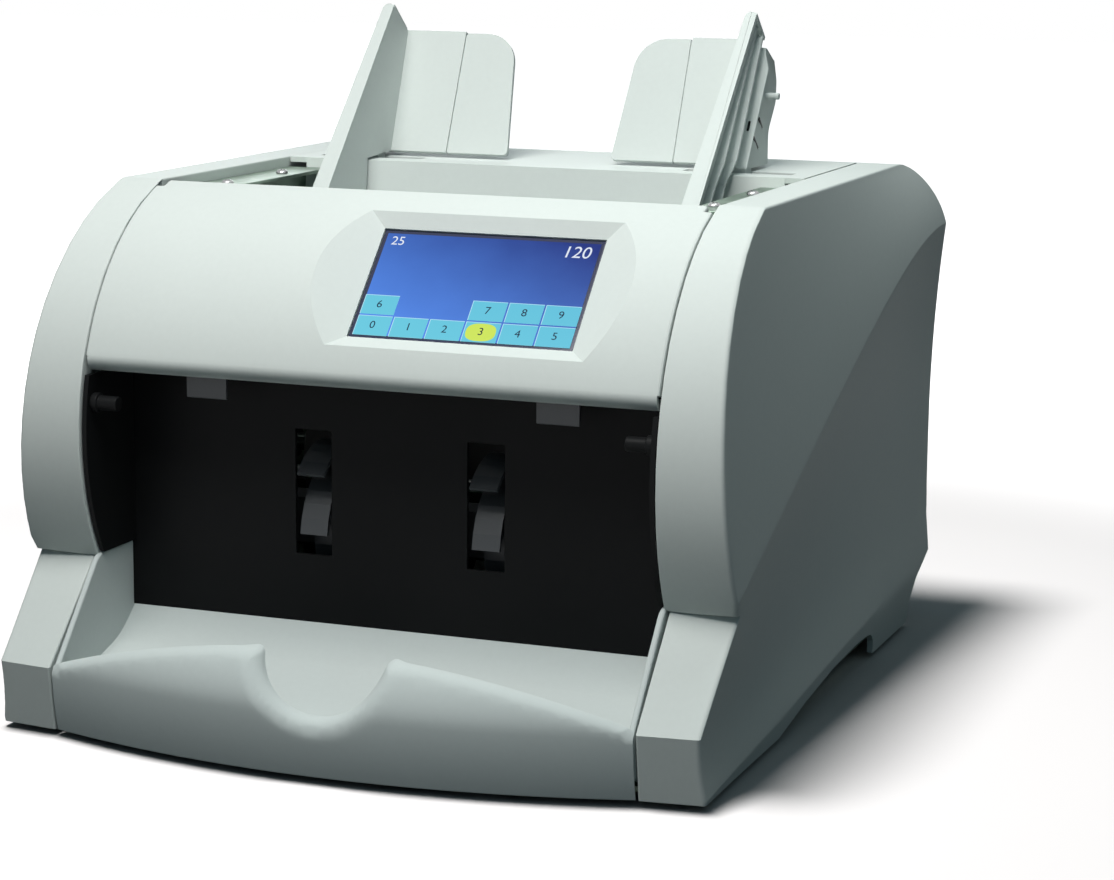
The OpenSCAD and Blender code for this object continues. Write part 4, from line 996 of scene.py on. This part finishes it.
def makeScreen():
    glows = {name: glowFinish(name, *values) for name, values in glowColours.items()}
    halfW = panel["screenW"] / 2 - screen["gap"]
    halfH = panel["screenH"] / 2 - screen["gap"]
    showW, showH = halfW - screen["frame"], halfH - screen["frame"]
    top, lip = screen["glassTop"], screen["keyEdge"]
    rimTop, keyTop = top + screen["keyLift"], top + 2 * screen["keyLift"]
    back, glass, lit, ink, counts = [bmesh.new() for _ in range(5)]
    addPlate(back, rectangle(-halfW, halfW, -halfH, halfH), screenPoint, top - screen["glassThick"],
             top - screen["frameDrop"])
    makePiece("screenFrame", back, "panel", "screen_glass", ["display_glass"], 0, 0.2, 2)
    addPlate(glass, rectangle(-showW, showW, -showH, showH), screenPoint, top - screen["glassShow"], top)
    makePiece("screenGlass", glass, "panel", "screen_glass", (), 0, 0.1, 2, finish=glows["screenGlow"])
    places = keyPlaces()
    addPlate(lit, litOutline(*places[screen["lit"]]), screenPoint, top - screen["litSink"],
             keyTop + screen["litLift"])
    for number, (x, y) in enumerate(places):
        screenText(ink, str(number), x, y, keyTop + screen["digitLift"], screen["digit"])
    for label, end in (("count", 1), ("batch", -1)):  # in the right and the left upper corner
        inX, inY = screen[label + "At"]
        screenText(counts, screen[label], end * (halfW - inX), halfH - inY, top + screen["digitLift"],
                   screen[label + "Size"], screen[label + "Shear"])
    tree = makeKeyTree()
    aims = [screenTurn @ Vector((0, 0, 1))] * len(places)
    rims = [screenPoint(x, y, rimTop) for x, y in places]
    rims = growTree("keyRims", tree, rims, aims, Width=screen["keyW"], Height=screen["keyH"],
                    Thick=screen["rimThick"], Finish=glows["keyEdgeGlow"])
    pads = [screenPoint(x + lip / 2, y - lip / 2, keyTop) for x, y in places]
    pads = growTree("keyPads", tree, pads, aims, Width=screen["keyW"] - lip, Height=screen["keyH"] - lip,
                    Thick=screen["padThick"], Finish=glows["keyGlow"])
    for name, bm, glow in (("screenKeyRims", rims, "keyEdgeGlow"), ("screenKeys", pads, "keyGlow"),
                           ("screenKeyLit", lit, "litKeyGlow"), ("screenKeyNumbers", ink, "keyInk"),
                           ("screenCounts", counts, "paleInk")):
        makePiece(name, bm, "panel", "screen_glass", finish=glows[glow])
    print("screen made")


makeScreen()

# Stacker tray: bowed front with a rolled rim and a flared finger notch

tray = {
    "half": boxOf("stacker_tray")[1].x, "front": boxOf("stacker_tray")[0].y, "bow": 400.0, "height": 50.5,
    "endHeight": 30.0, "notch": 26.6, "notchLow": 26.0, "notchFillet": 4.0,
    "leanTop": 9.5, "leanLow": 4.0, "bendTop": 1.7, "bendLow": 1.8,
    "rim": 4.2, "flare": 7.5, "flareStart": 9.0, "flareFade": 8.0, "endRim": 0.4, "endFade": 6.0, "wall": 2.6,
    "rimLoops": (0.15, 0.5, 1.1, 1.9, 2.9), "skinLow": 2.5, "skinStep": 2.2, "skinClear": 3.6,
    "skinColumns": 50,
    "rear": -100.2, "foldY": -112.0, "foldZ": 31.5, "foldSoft": 7.0, "floorSlope": 0.3, "rampSlope": 0.86,
    "floorGap": 0.4, "floorFront": 12.0, "floorSeat": 0.7, "sideWall": 2.5, "sideTop": 69.2, "sideRound": 9.0,
}
archRise = tray["height"] - tray["endHeight"]
archRadius = (tray["half"] ** 2 + archRise ** 2) / (2 * archRise)
notchMid = tray["notchLow"] + tray["notch"]


def archZ(x):
    return tray["height"] - archRadius + math.sqrt(archRadius ** 2 - x * x)


def trayFace(x, z):  # y of the bowed front before the rim rolls back
    bow = tray["front"] + tray["bow"] - math.sqrt(tray["bow"] ** 2 - x * x)
    ridge = body["ridge"]
    if z > ridge:
        lean = tray["leanTop"] * ((z - ridge) / (tray["height"] - ridge)) ** tray["bendTop"]
    else:
        lean = tray["leanLow"] * ((ridge - z) / (ridge - body["ground"])) ** tray["bendLow"]
    return bow + lean


def notchCorner():  # the middle of the fillet that eases the rim into the notch
    fillet = tray["notchFillet"]
    ring = tray["notch"] + fillet
    low = archRadius - fillet
    x = tray["notch"]
    for _ in range(60):
        z = tray["height"] - archRadius + math.sqrt(low * low - x * x)
        x = lerp(x, math.sqrt(max(0, ring * ring - (z - notchMid) ** 2)), 0.5)
    return x, z


def arcPoints(x, z, radius, start, end, count):  # without the first point
    turns = [lerp(start, end, k / count) for k in range(1, count + 1)]
    return [(x + radius * math.cos(a), z + radius * math.sin(a)) for a in turns]


def trayRim():  # the top line of the front, from the left end to the right
    fx, fz = notchCorner()
    outer = math.atan2(fz - (tray["height"] - archRadius), fx)
    inner = math.atan2(fz - notchMid, fx)
    xs = [tray["half"], tray["half"] * 0.985]
    xs += stepsBetween(tray["half"] * 0.97, archRadius * math.cos(outer), 44)
    half = [(x, archZ(x)) for x in xs]
    half += arcPoints(fx, fz, tray["notchFillet"], outer, inner + math.pi, 8)
    half += arcPoints(0, notchMid, tray["notch"], inner, -math.pi / 2, 24)
    left = [(-x, z) for x, z in half]
    return left + list(reversed(half[:-1]))


def rimDistance(rim, x, z):
    best, radius = 1e9, tray["rim"]
    point = Vector((x, z))
    for (ax, az), (bx, bz) in zip(rim, rim[1:]):
        a, b = Vector((ax, az)), Vector((bx, bz))
        t = clamp((point - a).dot(b - a) / (b - a).length_squared)
        near = a.lerp(b, t)
        d = (point - near).length
        if d < best:
            best = d
            inNotch = smooth((tray["notch"] + tray["flareStart"] - abs(near.x)) / tray["flareFade"])
            ends = smooth((tray["half"] - abs(near.x)) / tray["endFade"])
            radius = lerp(tray["rim"], tray["flare"], inNotch) * lerp(tray["endRim"], 1, ends)
    return best, radius


def traySkinPoint(rim, x, z):
    d, radius = rimDistance(rim, x, z)
    roll = 0
    if d < radius:
        roll = radius - math.sqrt(radius * radius - (radius - d) ** 2)
    return x, trayFace(x, z) + roll, z


def trayLoop(rim, d):  # the rim moved down into the wall by a distance
    loop = []
    for k, (x, z) in enumerate(rim):
        a, b = Vector(rim[max(0, k - 1)]), Vector(rim[min(len(rim) - 1, k + 1)])
        along = (b - a).normalized()
        loop.append((clamp(x + along.y * d, -tray["half"], tray["half"]), z - along.x * d))
    return loop


def makeTrayFront():
    rim = trayRim()
    half, low = tray["half"], body["ground"]
    outline = rim + [(x, low) for x in stepsBetween(half, -half, 80)]
    points = list(outline)
    for d in tray["rimLoops"]:
        points += trayLoop(rim, d)[2:-2]
    z = low + tray["skinLow"]
    while z < tray["height"]:
        for k in range(1 - tray["skinColumns"], tray["skinColumns"]):
            x = k * half / tray["skinColumns"]
            inNotch = x * x + (z - notchMid) ** 2 < tray["notch"] ** 2
            if rimDistance(rim, x, z)[0] > tray["skinClear"] and z < archZ(x) and not inNotch:
                points.append((x, z))
        if z < tray["endHeight"] - 2:
            points += [(-half, z), (half, z)]
        z += tray["skinStep"]
    loop = [list(range(len(outline)))]
    verts, _, faces, *_ = delaunay_2d_cdt([Vector(p) for p in points], [], loop, 1, 0.02)
    bm = bmesh.new()
    made = [bm.verts.new(Vector(traySkinPoint(rim, v.x, v.y)) * mm) for v in verts]
    for face in faces:
        bm.faces.new([made[k] for k in face])
    bmesh.ops.recalc_face_normals(bm, faces=bm.faces)
    faceOutwards(bm, (0, 0, 30))
    return bm


def floorZ(y):  # the floor rises to a soft fold, then ramps up to the black back
    past = y - tray["foldY"]
    soft = tray["foldSoft"]
    bend = max(0, past + soft) ** 2 / (4 * soft) if past < soft else past
    return tray["foldZ"] + tray["floorSlope"] * past + (tray["rampSlope"] - tray["floorSlope"]) * bend


def makeTrayFloor():
    half = tray["half"] - tray["floorGap"]
    fold = tray["foldY"] - tray["foldSoft"]
    columns = []
    for x in stepsBetween(-half, half, 40):
        front = trayFace(x, tray["floorFront"]) + tray["wall"] * tray["floorSeat"]
        stations = stepsBetween(front, fold, 12)[:-1] + stepsBetween(fold, tray["rear"], 12)
        columns.append([(x, y, floorZ(y)) for y in stations])
    bm = gridMesh([columns])
    faceOutwards(bm, (0, -140, -300))
    return bm


def makeTray():
    makePiece("trayFront", makeTrayFront(), "chassis", "tray_plastic", ["stacker_tray"], tray["wall"],
              sharp=50)
    makePiece("trayFloor", makeTrayFloor(), "chassis", "tray_plastic", (), tray["wall"])
    front, rear, top = body["front"], tray["rear"], tray["sideTop"]
    outline = roundOutline([
        (front + 5, 10, 0), (front + 1, body["ridge"] - 0.5, 3),
        (towerFront(body["waist"]) - 1, top, tray["sideRound"]), (rear, top, 0), (rear, 5, 0),
        (front + 17, 5, 0)])
    for side, name in sides:
        bm = bmesh.new()
        addPlate(bm, outline, fromSide, side * (tray["half"] - tray["sideWall"]), side * tray["half"])
        makePiece("traySide" + name, bm, "chassis", "tray_plastic", (), 0, 0.9)
    print("tray made")


makeTray()

# Hopper guides

guide = {
    "footX": 79.5, "footZ": 133.0, "splay": 0.034, "tipY": 87.3, "tipZ": 287.3, "topY": 102.5, "topZ": 274.6,
    "rearY": 78.0, "rearZ": 220.5, "wall": 3.2, "wallBack": 1.5, "faceBack": 0.12, "floorGap": 1.6,
    "sink": 0.6, "bandThick": 3.0, "bandX": 89.8, "bandRound": 2.6, "rimThick": 1.8, "rimFront": 0.8,
    "rimRear": 1.6, "rimInner": 0.2, "rimOuter": 0.3,
    "ribThick": 1.7, "ribs": ((7.0, 0.06, 144, 90.1), (13.0, 0.12, 126, 91.4)), "ribTop": 2.0,
    "ribLean": 0.032, "ribMid": 240.0, "ribWide": 224.0, "ribStep": 214.4, "ribFoot": 89.4,
    "bossX": 92.9, "bossRound": 264.0, "bossFall": 0.06, "pegY": 95.4, "pegZ": 250.0, "pegRadius": 1.5,
    "pegLong": 5.4, "slotHalf": 0.6, "slotDeep": 0.5, "pinRadius": 0.75, "pinLong": 0.25,
    "slots": (((83.7, 240.8), (88.8, 235.7)), ((75.9, 233.1), (83.2, 227.2))),
    "frontSlotX": 89.9, "frontSlotUp": 22.0, "frontSlotLong": 2.6, "frontSlotRound": 0.55,
    "backFold": 55.2, "backTop": 30.5, "backLow": 25.0, "backRound": 15.0, "backThick": 2.5, "backSink": 2.0,
    "backDrop": 0.7, "backStep": 0.3, "foldGap": 0.8, "grooveDeep": 1.1,
}
guideBoss = [(65.0, 219.6, 0.8), (98.3, 219.6, 1.5), (98.2, 234, 8), (109.1, 246.5, 6), (109.5, 256, 6),
             (105.6, 265.2, 5), (101.2, 272.8, 2), (93.9, 262.0, 0)]
guideLeg = {  # front, rear, low and high of each part
    "block": (63.0, 98.6, 199.5, 214.5), "hole": (66.7, 75.3, 202.7, 211.3),
    "neck": (67.0, 75.0, 213.5, 221.0), "x": (84.0, 100.0), "neckX": 92.5,
}
hopper = {"frontY": -53.0, "frontZ": 206.0, "rearY": 54.0, "footY": 43.1, "footZ": 139.1, "slope": 0.8391}


def guideX(z):  # the inner face leans outwards a little towards the tip
    return guide["footX"] + guide["splay"] * (z - guide["footZ"])


def hopperZ(y):
    return hopper["frontZ"] - (y - hopper["frontY"]) * hopper["slope"]


def leadPoint(down, behind):  # down along the 45 degree front edge from the tip, and back from it
    return guide["tipY"] + (behind - down) / math.sqrt(2), guide["tipZ"] - (behind + down) / math.sqrt(2)


def leadLength():
    return (guide["tipZ"] - hopperZ(guide["tipY"]) - guide["floorGap"]) / (1 + hopper["slope"]) * math.sqrt(2)


def addSlab(bm, outline, fromX, toX):  # a slab seen from the side, fromX and toX follow the height
    addPlate(bm, outline, lambda y, z, t: (lerp(fromX(z), toX(z), t), y, z), 0, 1)


def wallOut(z):  # where ribs and boss start, a little inside the wall
    return guideX(z) + guide["wall"] - guide["sink"]


def makeGuideWall():
    bm = bmesh.new()
    length = leadLength()
    inset, wide, soft = guide["wallBack"], guide["bandX"], guide["bandRound"]
    lowY, rear, deck = hopper["footY"] - 8, hopper["rearY"], body["deck"]
    wall = roundOutline([
        (*leadPoint(length, inset), 0), (lowY, hopperZ(lowY) + guide["floorGap"], 2),
        (lowY + 1, hopper["footZ"], 0), (rear - 2.5, deck - 2, 0), (rear - 2, deck + 1, 0),
        (guide["rearY"], guide["rearZ"], 0), (guide["topY"], guide["topZ"], 3),
        (*leadPoint(inset, inset), 2)])
    addSlab(bm, wall, lambda z: guideX(z) + guide["faceBack"], lambda z: guideX(z) + guide["wall"])
    footX, tipX = guideX(leadPoint(length, 0)[1]), guideX(guide["tipZ"])
    band = roundOutline([(footX, length, 0), (wide, length, 0), (wide, 0, soft), (tipX, 0, soft)])
    addPlate(bm, band, lambda x, down, behind: (x, *leadPoint(down, behind)), 0, guide["bandThick"])
    tip, top = Vector((guide["tipY"], guide["tipZ"])), Vector((guide["topY"], guide["topZ"]))
    along = (top - tip).normalized()
    down = Vector((along.y, -along.x)) * guide["rimThick"]
    start, end = tip + along * guide["rimFront"], top - along * guide["rimRear"]
    addSlab(bm, [start, end, end + down, start + down], lambda z: guideX(z) + guide["rimInner"],
            lambda z: wide - guide["rimOuter"])
    return bm


def ribLine(near, fan, reach):  # one edge of a rib: its top, both ends of the taper and its foot
    heights = (guide["ribWide"], guide["ribStep"])
    taper = [((guide["tipZ"] - z) * math.sqrt(2) - near) / (1 + fan) for z in heights]
    return [leadPoint(down, near + fan * down) for down in (guide["ribTop"], *taper, reach)]


def ribOut(z, outX):  # narrower below the taper, so that the ribs pass the ledges
    share = (z - guide["ribStep"]) / (guide["ribWide"] - guide["ribStep"])
    return lerp(guide["ribFoot"], outX - guide["ribLean"] * (z - guide["ribMid"]), clamp(share))


def makeGuideRibs():
    bm = bmesh.new()
    for near, fan, reach, outX in guide["ribs"]:
        front = ribLine(near, fan, reach)
        rear = ribLine(near + guide["ribThick"], fan, reach)
        for k in range(3):
            rib = [front[k + 1], front[k], rear[k], rear[k + 1]]
            addSlab(bm, rib, wallOut, lambda z: ribOut(z, outX))
    return bm


def bossOut(z):  # the outer face rounds over towards the top
    return guide["bossX"] - guide["bossFall"] * max(0, z - guide["bossRound"]) ** 2


def makeGuideBoss():
    bm = bmesh.new()
    addSlab(bm, roundOutline(guideBoss, 5), wallOut, bossOut)
    front, rear, low, high = guideLeg["block"]
    holeFront, holeRear, holeLow, holeHigh = guideLeg["hole"]  # the rail runs through here
    near, far = guideLeg["x"]
    slabs = [(front, holeFront, low, high, far), (holeRear, rear, low, high, far),
             (holeFront, holeRear, low, holeLow, far), (holeFront, holeRear, holeHigh, high, far),
             (*guideLeg["neck"], guideLeg["neckX"])]
    for *box, outer in slabs:
        addPlate(bm, rectangle(*box), fromSide, near, outer)
    return bm


def makeGuideBack():  # the leaning plate across the hopper's rear, in two parts with a groove between
    bm = bmesh.new()
    run, rise = guide["topY"] - guide["rearY"], guide["topZ"] - guide["rearZ"]
    lean = math.atan2(run, rise)
    height = math.hypot(run, rise)
    fold, gap, thick = guide["backFold"], guide["foldGap"], guide["backThick"]

    def place(x, up, depth):
        y = guide["rearY"] + up * math.sin(lean) - depth * math.cos(lean)
        return x, y, guide["rearZ"] + up * math.cos(lean) + depth * math.sin(lean)

    footX, topX = [guideX(z) + guide["backSink"] for z in (guide["rearZ"], guide["topZ"])]
    near = [(fold, 0), (footX, 0), (topX, height), (fold, height)]
    farTop = height - guide["backDrop"]
    far = roundOutline([(guide["backLow"], 0, 2), (fold - gap, 0, 0), (fold - gap, farTop, 0),
                        (guide["backTop"], farTop, guide["backRound"])], 12)
    groove = rectangle(fold - 2, fold + 1, 0.6, height - 1.4)
    addPlate(bm, near, place, -thick, 0)
    addPlate(bm, far, place, -thick, -guide["backStep"])
    addPlate(bm, groove, place, -thick + 0.2, -guide["grooveDeep"])
    return bm


def makeGuideTrim():  # black sheets in the boss's slots as painted shade, then the peg and the slots' pins
    slots, pins = bmesh.new(), bmesh.new()
    face, half, deep = guide["bossX"], guide["slotHalf"], guide["slotDeep"]
    for start, end in guide["slots"]:
        a, b = Vector(start), Vector(end)
        across = (b - a).normalized().orthogonal() * half
        # a black sheet just proud of the face: painted shade in the slot
        addPlate(slots, (a - across, b - across, b + across, a + across), fromSide, face - deep, face + 0.04)
        addPlate(pins, circle(*end, guide["pinRadius"], 12), fromSide, face - deep, face + guide["pinLong"])
    peg = circle(guide["pegY"], guide["pegZ"], guide["pegRadius"], 24)
    addPlate(pins, peg, fromSide, face - 1, face + guide["pegLong"])
    low, high = Vector(guideBoss[0][:2]), Vector(guideBoss[-1][:2])
    along = (high - low).normalized()
    middle = low + along * guide["frontSlotUp"]
    long = guide["frontSlotLong"]
    outline = roundOutline([(*p, guide["frontSlotRound"]) for p in rectangle(-half, half, -long, long)], 4)

    def onFront(a, b, depth):
        y, z = middle + along * b + Vector((-along.y, along.x)) * depth
        return guide["frontSlotX"] + a, y, z

    # the front slot is a black sheet too: painted shade
    addPlate(slots, outline, onFront, -deep, 0.05)
    return slots, pins


def makeGuides():
    for side, name in sides:
        word = name.lower()
        slots, pins = makeGuideTrim()
        pieces = [("guideWall", makeGuideWall(), "pale_plastic", 0.6, ["hopper_guide_" + word]),
                  ("guideRibs", makeGuideRibs(), "pale_plastic", 0.4, ()),
                  ("guideBoss", makeGuideBoss(), "pale_plastic", 0.6, ()),
                  ("guideBack", makeGuideBack(), "pale_plastic", 0.15, ()),
                  ("guidePins", pins, "pale_plastic", 0.3, ()), ("guideSlotShade", slots, "black_plastic", 0, ())]
        for label, bm, slotName, soft, nodes in pieces:
            if side < 0:
                mirrorMesh(bm)
            makePiece(label + name, bm, "guide_" + word, slotName, nodes, 0, soft)
    print("guides made")


makeGuides()

# Screws, set out over the places of the solid ones

screws = {
    "ledge_screws": {"body": "chassis", "radius": 2.7, "height": 1.7, "slot": 0.7, "aim": (0, 0, 1)},
    "tie_rod_screws": {"body": "chassis", "radius": 5.0, "height": 4.0, "slot": 1.2, "aim": (1, 0, 0)},
    "display_screws": {"body": "panel", "radius": 3.0, "height": 2.0, "slot": 0.8,
                       "aim": (0, 0.7193, -0.6947)},
}


def loosePlaces(node):  # the middle of each separate solid in a node
    bm = solidMesh(node)
    left = set(bm.verts)
    places = []
    while left:
        queue = [left.pop()]
        found = []
        while queue:
            vert = queue.pop()
            found.append(vert.co)
            for edge in vert.link_edges:
                other = edge.other_vert(vert)
                if other in left:
                    left.remove(other)
                    queue.append(other)
        low = Vector([min(p[k] for p in found) for k in range(3)])
        high = Vector([max(p[k] for p in found) for k in range(3)])
        places.append((low + high) / 2 / mm)
    bm.free()
    return sorted(places, key=lambda p: tuple(p))


def makeScrews():
    tree = makeScrewTree()
    for node, size in screws.items():
        seats, aims = [], []
        for place in loosePlaces(node):
            aim = Vector(size["aim"])
            if aim.x and place.x < 0:  # both ends of a rod face outwards
                aim.x = -aim.x
            seats.append(place - aim * size["height"] / 2)
            aims.append(aim)
        bm = growTree(node, tree, seats, aims, Radius=size["radius"], Height=size["height"],
                      Slot=size["slot"], Seed=4, Finish=finishes["bright_steel"])
        makePiece(pieceName(node, "Cross"), bm, size["body"], "bright_steel", [node])
    print("screws made:", len(screws), "sets")


makeScrews()

# Solids whose edges only need easing

eased = {  # the finish, then each solid with the width of its eased edges
    "pale_plastic": {"rear_deck": 0.6, "rear_cover": 0.5},
    "tray_plastic": {"hopper_floor": 0.3},
    "zinc_steel": {"hopper_ledges": 0.3},
    "dark_plastic": {"note_tabs": 0.4},
    "black_plastic": {"pocket_sensors": 0.6, "pocket_back_plate": 0.4, "pocket_hood": 0.4,
                      "inlet_socket": 0.4, "switch_frame": 0.5},
}
for easedSlot, easedNodes in eased.items():
    for easedNode, easedWidth in easedNodes.items():
        softCopy(easedNode, "chassis", easedSlot, easedWidth, 2)
softCopy("power_rocker", "rocker", "black_plastic", 0.6)
print("solids eased:", sum(len(easedNodes) for easedNodes in eased.values()) + 1)


# Light, floor and background

studio = {
    "key": {"place": (-0.02, -0.46, 0.90), "size": 0.55, "watts": 8.4, "colour": (1.0, 0.995, 0.97)},
    "side": {"place": (0.24, 0.05, 1.0), "size": 0.3, "watts": 0.18, "colour": (0.90, 1.0, 0.98),
             "spread": 50, "aim": (0.16, 0.05, 0.15)},
    "fill": {"place": (0.69, -1.49, 0.56), "size": 1.0, "watts": 0.7, "colour": (0.45, 0.80, 1.0)},
    "back": {"place": (-0.60, 1.20, 0.30), "size": 0.6, "watts": 4.0, "colour": (0.92, 0.98, 1.0)},
    "floor": {"place": (-0.18, -0.21, 1.7), "size": 0.5, "watts": 62.0, "colour": (1.0, 1.0, 1.0)},
    "aim": (0, 0, 0.12), "skyUp": 0.14, "skyDown": 0.01, "skyLow": -0.3, "skyColour": (0.55, 0.88, 1.0, 1),
    "floorNear": 0.40, "floorFar": 0.80, "floorSeen": (0.51, 0.495, 0.49, 1),
    "floorBounce": (0.03, 0.032, 0.032, 1),
}


def makeFloor():
    bm = bmesh.new()
    bmesh.ops.create_grid(bm, x_segments=8, y_segments=8, size=6.0)
    mesh = bpy.data.meshes.new("floor")
    bm.to_mesh(mesh)
    bm.free()
    floor = bpy.data.objects.new("floor", mesh)
    bpy.context.scene.collection.objects.link(floor)
    mesh.materials.append(floorFinish())
    return floor


def seenRays(tree):  # 1 where the eye looks, or a mirror or glass
    path = tree.nodes.new("ShaderNodeLightPath")
    seen = mathNode(tree, "MAXIMUM", path.outputs["Is Camera Ray"], path.outputs["Is Glossy Ray"])
    return mathNode(tree, "MAXIMUM", seen, path.outputs["Is Transmission Ray"])


def floorFinish():  # white for the eye with the shadow kept, dark for bounced light
    material, tree, shader = newMaterial("paleFloor")
    seen = seenRays(tree)
    reach = addNode(tree, "ShaderNodeVectorMath", operation="LENGTH")
    tree.links.new(objectPlace(tree), reach.inputs[0])
    fade = addNode(tree, "ShaderNodeMapRange", {"Value": reach.outputs["Value"]},
                   interpolation_type="SMOOTHSTEP", From_Min=studio["floorNear"], From_Max=studio["floorFar"])
    linkSockets(tree, shader, Base_Color=mixColour(tree, seen, studio["floorBounce"], studio["floorSeen"]),
                Emission_Strength=mathNode(tree, "MULTIPLY", seen, fade.outputs[0]))
    setSockets(shader, Roughness=0.95, Specular_IOR_Level=0.1, Emission_Color=(1, 1, 1, 1))
    return material


def makeLight(name, floor, onFloor):
    setup = studio[name]
    data = bpy.data.lights.new(name + "Light", "AREA")
    data.shape = "DISK"
    data.size = setup["size"]
    data.energy = setup["watts"]
    data.color = setup["colour"]
    data.spread = math.radians(setup.get("spread", 180))
    aim = Vector(setup.get("aim", studio["aim"]))
    lamp = bpy.data.objects.new(name + "Light", data)
    lamp.location = setup["place"]
    lamp.rotation_euler = (aim - Vector(setup["place"])).to_track_quat("-Z", "Y").to_euler()
    bpy.context.scene.collection.objects.link(lamp)
    flag = bpy.data.collections.new(name + "Flag")  # keeps the lamp to the floor, or off it
    flag.objects.link(floor)
    flag.collection_objects[0].light_linking.link_state = "INCLUDE" if onFloor else "EXCLUDE"
    lamp.light_linking.receiver_collection = flag


def makeWorld():  # soft light mostly from above, and plain white where the eye or a mirror looks
    world = bpy.data.worlds.new("studio")
    world.use_nodes = True
    bpy.context.scene.world = world
    tree = world.node_tree
    shader = tree.nodes["Background"]
    seen = seenRays(tree)
    aim = addNode(tree, "ShaderNodeTexCoord").outputs["Generated"]
    height = addNode(tree, "ShaderNodeSeparateXYZ", {"Vector": aim}).outputs[2]
    sky = addNode(tree, "ShaderNodeMapRange", {"Value": height}, interpolation_type="SMOOTHSTEP",
                  From_Min=studio["skyLow"], From_Max=1.0, To_Min=studio["skyDown"], To_Max=studio["skyUp"])
    lift = mathNode(tree, "MULTIPLY", seen, mathNode(tree, "SUBTRACT", 1.0, sky.outputs[0]))
    linkSockets(tree, shader, Strength=mathNode(tree, "ADD", lift, sky.outputs[0]),
                Color=mixColour(tree, seen, studio["skyColour"], (1, 1, 1, 1)))


paleFloor = makeFloor()
for lampName in ("key", "side", "fill", "back", "floor"):
    makeLight(lampName, paleFloor, lampName == "floor")
makeWorld()
bpy.context.scene.view_settings.view_transform = "Standard"
print("studio made")
